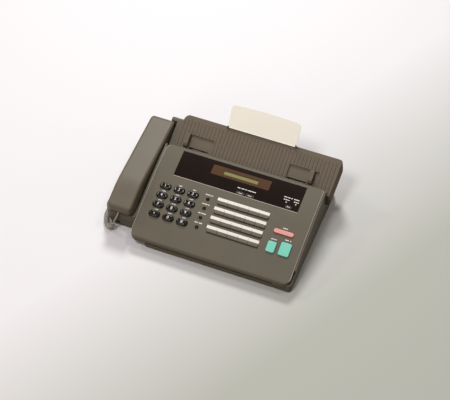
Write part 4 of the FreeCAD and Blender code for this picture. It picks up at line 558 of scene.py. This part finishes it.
def panelRimHighlight(p, side):
    # plan line: centre + corner * (sign cos a, sin a), with a < 0 on the front corner and a > 0 on the back one
    edge, sign, backCorner = p["edges"][side]
    frontTurn = np.linspace(-math.asin(1 - p["clearFront"] / p["frontCorner"]), 0, p["steps"])
    backTurn = np.linspace(0, p["backTurn"], p["steps"])
    turn = np.r_[frontTurn, np.zeros(p["along"]), backTurn]
    ones = np.ones(p["steps"])
    corner = np.r_[p["frontCorner"] * ones, np.zeros(p["along"]), backCorner * ones]
    ends = p["front"] + p["frontCorner"], p["back"] - backCorner
    centreY = np.r_[ends[0] * ones, np.linspace(*ends, p["along"] + 2)[1:-1], ends[1] * ones]
    out = np.c_[sign * np.cos(turn), np.sin(turn)]
    plan = np.c_[edge - sign * corner, centreY] + corner[:, None] * out
    section = [(p["wide"], p["proud"]), (-p["proud"], p["proud"]),
               (-p["proud"], -p["deep"]), (p["wide"], -p["deep"])]
    rings = np.stack([onPanel(*(plan - out * inset).T, lift) for inset, lift in section], 1)
    faces = ribbonFaces(len(plan), sign > 0)
    return makePiece("panelRimHighlight_" + side, rings.reshape(-1, 3), faces, finish["rim"])


# each rim is a painted highlight
for side in rimHighlightSet["edges"]:
    rim = panelRimHighlight(rimHighlightSet, side)
    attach(rim, "panel")

# parting line round the handset rest, between its upper moulding and the lower case
parting = {"left": -341.0, "right": -281.0, "front": 24.0, "back": 214.0, "corner": 14.0, "height": (21.6, 22.3),
           "sink": 0.3, "proud": 0.05, "steps": 12}


def partingLine(p):
    # plan line: front wall, quarter circle of the corner's radius, left wall
    turn = np.linspace(-np.pi / 2, -np.pi, p["steps"])
    cornerX, cornerY = p["left"] + p["corner"], p["front"] + p["corner"]
    curve = np.c_[cornerX + p["corner"] * np.cos(turn), cornerY + p["corner"] * np.sin(turn)]
    plan = np.r_[[(p["right"], p["front"])], curve, [(p["left"], p["back"])]]
    out = np.r_[[(0, -1)], np.c_[np.cos(turn), np.sin(turn)], [(-1, 0)]]
    low, high = p["height"]
    section = [(-p["sink"], low), (p["proud"], low), (p["proud"], high), (-p["sink"], high)]
    rings = np.stack([np.c_[plan + out * a, np.full(len(plan), z)] for a, z in section], 1)
    faces = ribbonFaces(len(plan), True)
    piece = makePiece("restParting", toFrame(rings.reshape(-1, 3)), faces, finish["shadeAndSeam"])
    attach(piece, "base")


partingLine(parting)
print("panel and rest details done")

# floor and light; the floor is pale to the eye and throws little light back on the part, and its colour darkens
# towards the front right as painted shade
stageSet = {"floorSize": 6.0, "floorDrop": 0.0002, "floorRoughness": 0.9, "pale": (0.72, 0.71, 0.725),
            # the second floor colour is painted shade, reached towards the front right
            "paintedShadeColour": (0.43, 0.44, 0.395), "bounce": (0.2, 0.16, 0.12),
            "fadeAlong": (0.88, -0.48, 0.0), "fade": (-0.06, 0.28), "world": 0.2, "worldColour": (1.0, 0.85, 0.77),
            "key": {"place": (-0.25, -0.95, 2.1), "size": 0.55, "power": 20},
            "back": {"place": (-0.4, 1.15, 1.6), "size": 0.5, "power": 27},
            "fill": {"place": (-0.8, -2.2, 0.95), "size": 1.0, "power": 10.5, "colour": (1.0, 0.87, 0.78)},
            "leftKicker": {"place": (-1.6, 0.3, 1.6), "size": 0.25, "power": 5},
            "rightKicker": {"place": (0.6, 0.2, 2.0), "size": 0.25, "power": 4},
            "sideKicker": {"place": (1.7, 0.3, 0.9), "size": 0.4, "power": 1.5, "colour": (1.0, 0.87, 0.78)}}


def makeFloor(size):
    half = size / 2
    corners = np.array([(-half, -half, 0), (half, -half, 0), (half, half, 0), (-half, half, 0)])
    material, tree, shader = newMaterial("paleFloor", stageSet["bounce"], stageSet["floorRoughness"])
    nodesOf, link = tree.nodes, tree.links.new
    # painted shade: colour darkens towards the front right, standing for light falling off and the part's soft
    # shadow there; share = place along a floor direction
    coords = nodesOf.new("ShaderNodeTexCoord")
    along = nodesOf.new("ShaderNodeVectorMath")
    along.operation = "DOT_PRODUCT"
    along.inputs[1].default_value = stageSet["fadeAlong"]
    link(coords.outputs["Object"], along.inputs[0])
    share = nodesOf.new("ShaderNodeMapRange")
    share.inputs["From Min"].default_value, share.inputs["From Max"].default_value = stageSet["fade"]
    link(along.outputs["Value"], share.inputs["Value"])
    ramp = nodesOf.new("ShaderNodeValToRGB")
    ramp.color_ramp.elements[0].color = (*stageSet["pale"], 1)
    ramp.color_ramp.elements[1].color = (*stageSet["paintedShadeColour"], 1)
    link(share.outputs["Result"], ramp.inputs["Fac"])
    seen = nodesOf.new("ShaderNodeBsdfDiffuse")
    link(ramp.outputs["Color"], seen.inputs["Color"])
    path = nodesOf.new("ShaderNodeLightPath")
    mirror = nodesOf.new("ShaderNodeMath")
    mirror.operation = "MAXIMUM"
    link(path.outputs["Is Glossy Ray"], mirror.inputs[0])
    link(path.outputs["Is Transmission Ray"], mirror.inputs[1])
    direct = nodesOf.new("ShaderNodeMath")
    direct.operation = "MAXIMUM"
    link(path.outputs["Is Camera Ray"], direct.inputs[0])
    link(mirror.outputs["Value"], direct.inputs[1])
    pick = nodesOf.new("ShaderNodeMixShader")
    link(direct.outputs["Value"], pick.inputs["Fac"])
    link(shader.outputs["BSDF"], pick.inputs[1])
    link(seen.outputs["BSDF"], pick.inputs[2])
    link(pick.outputs["Shader"], nodesOf["Material Output"].inputs["Surface"])
    floor = makePiece("paleFloor", corners - [0, 0, stageSet["floorDrop"]], [[0, 1, 2, 3]], material)


def areaLight(name, place, size, power, colour=(1.0, 1.0, 1.0)):
    data = bpy.data.lights.new(name, "AREA")
    data.energy = power
    data.color = colour
    data.shape = "DISK"
    data.size = size
    lamp = bpy.data.objects.new(name, data)
    scene.collection.objects.link(lamp)
    lamp.location = place
    lamp.rotation_euler = Vector([-p for p in place]).to_track_quat("-Z", "Y").to_euler()


makeFloor(stageSet["floorSize"])
for name in ("key", "back", "fill", "leftKicker", "rightKicker", "sideKicker"):
    areaLight(name + "Light", **stageSet[name])
world = bpy.data.worlds.new("studio")
scene.world = world
world.use_nodes = True
background = world.node_tree.nodes["Background"]
background.inputs["Color"].default_value = (*stageSet["worldColour"], 1)
background.inputs["Strength"].default_value = stageSet["world"]
scene.view_settings.view_transform = "Standard"
print("stage done")
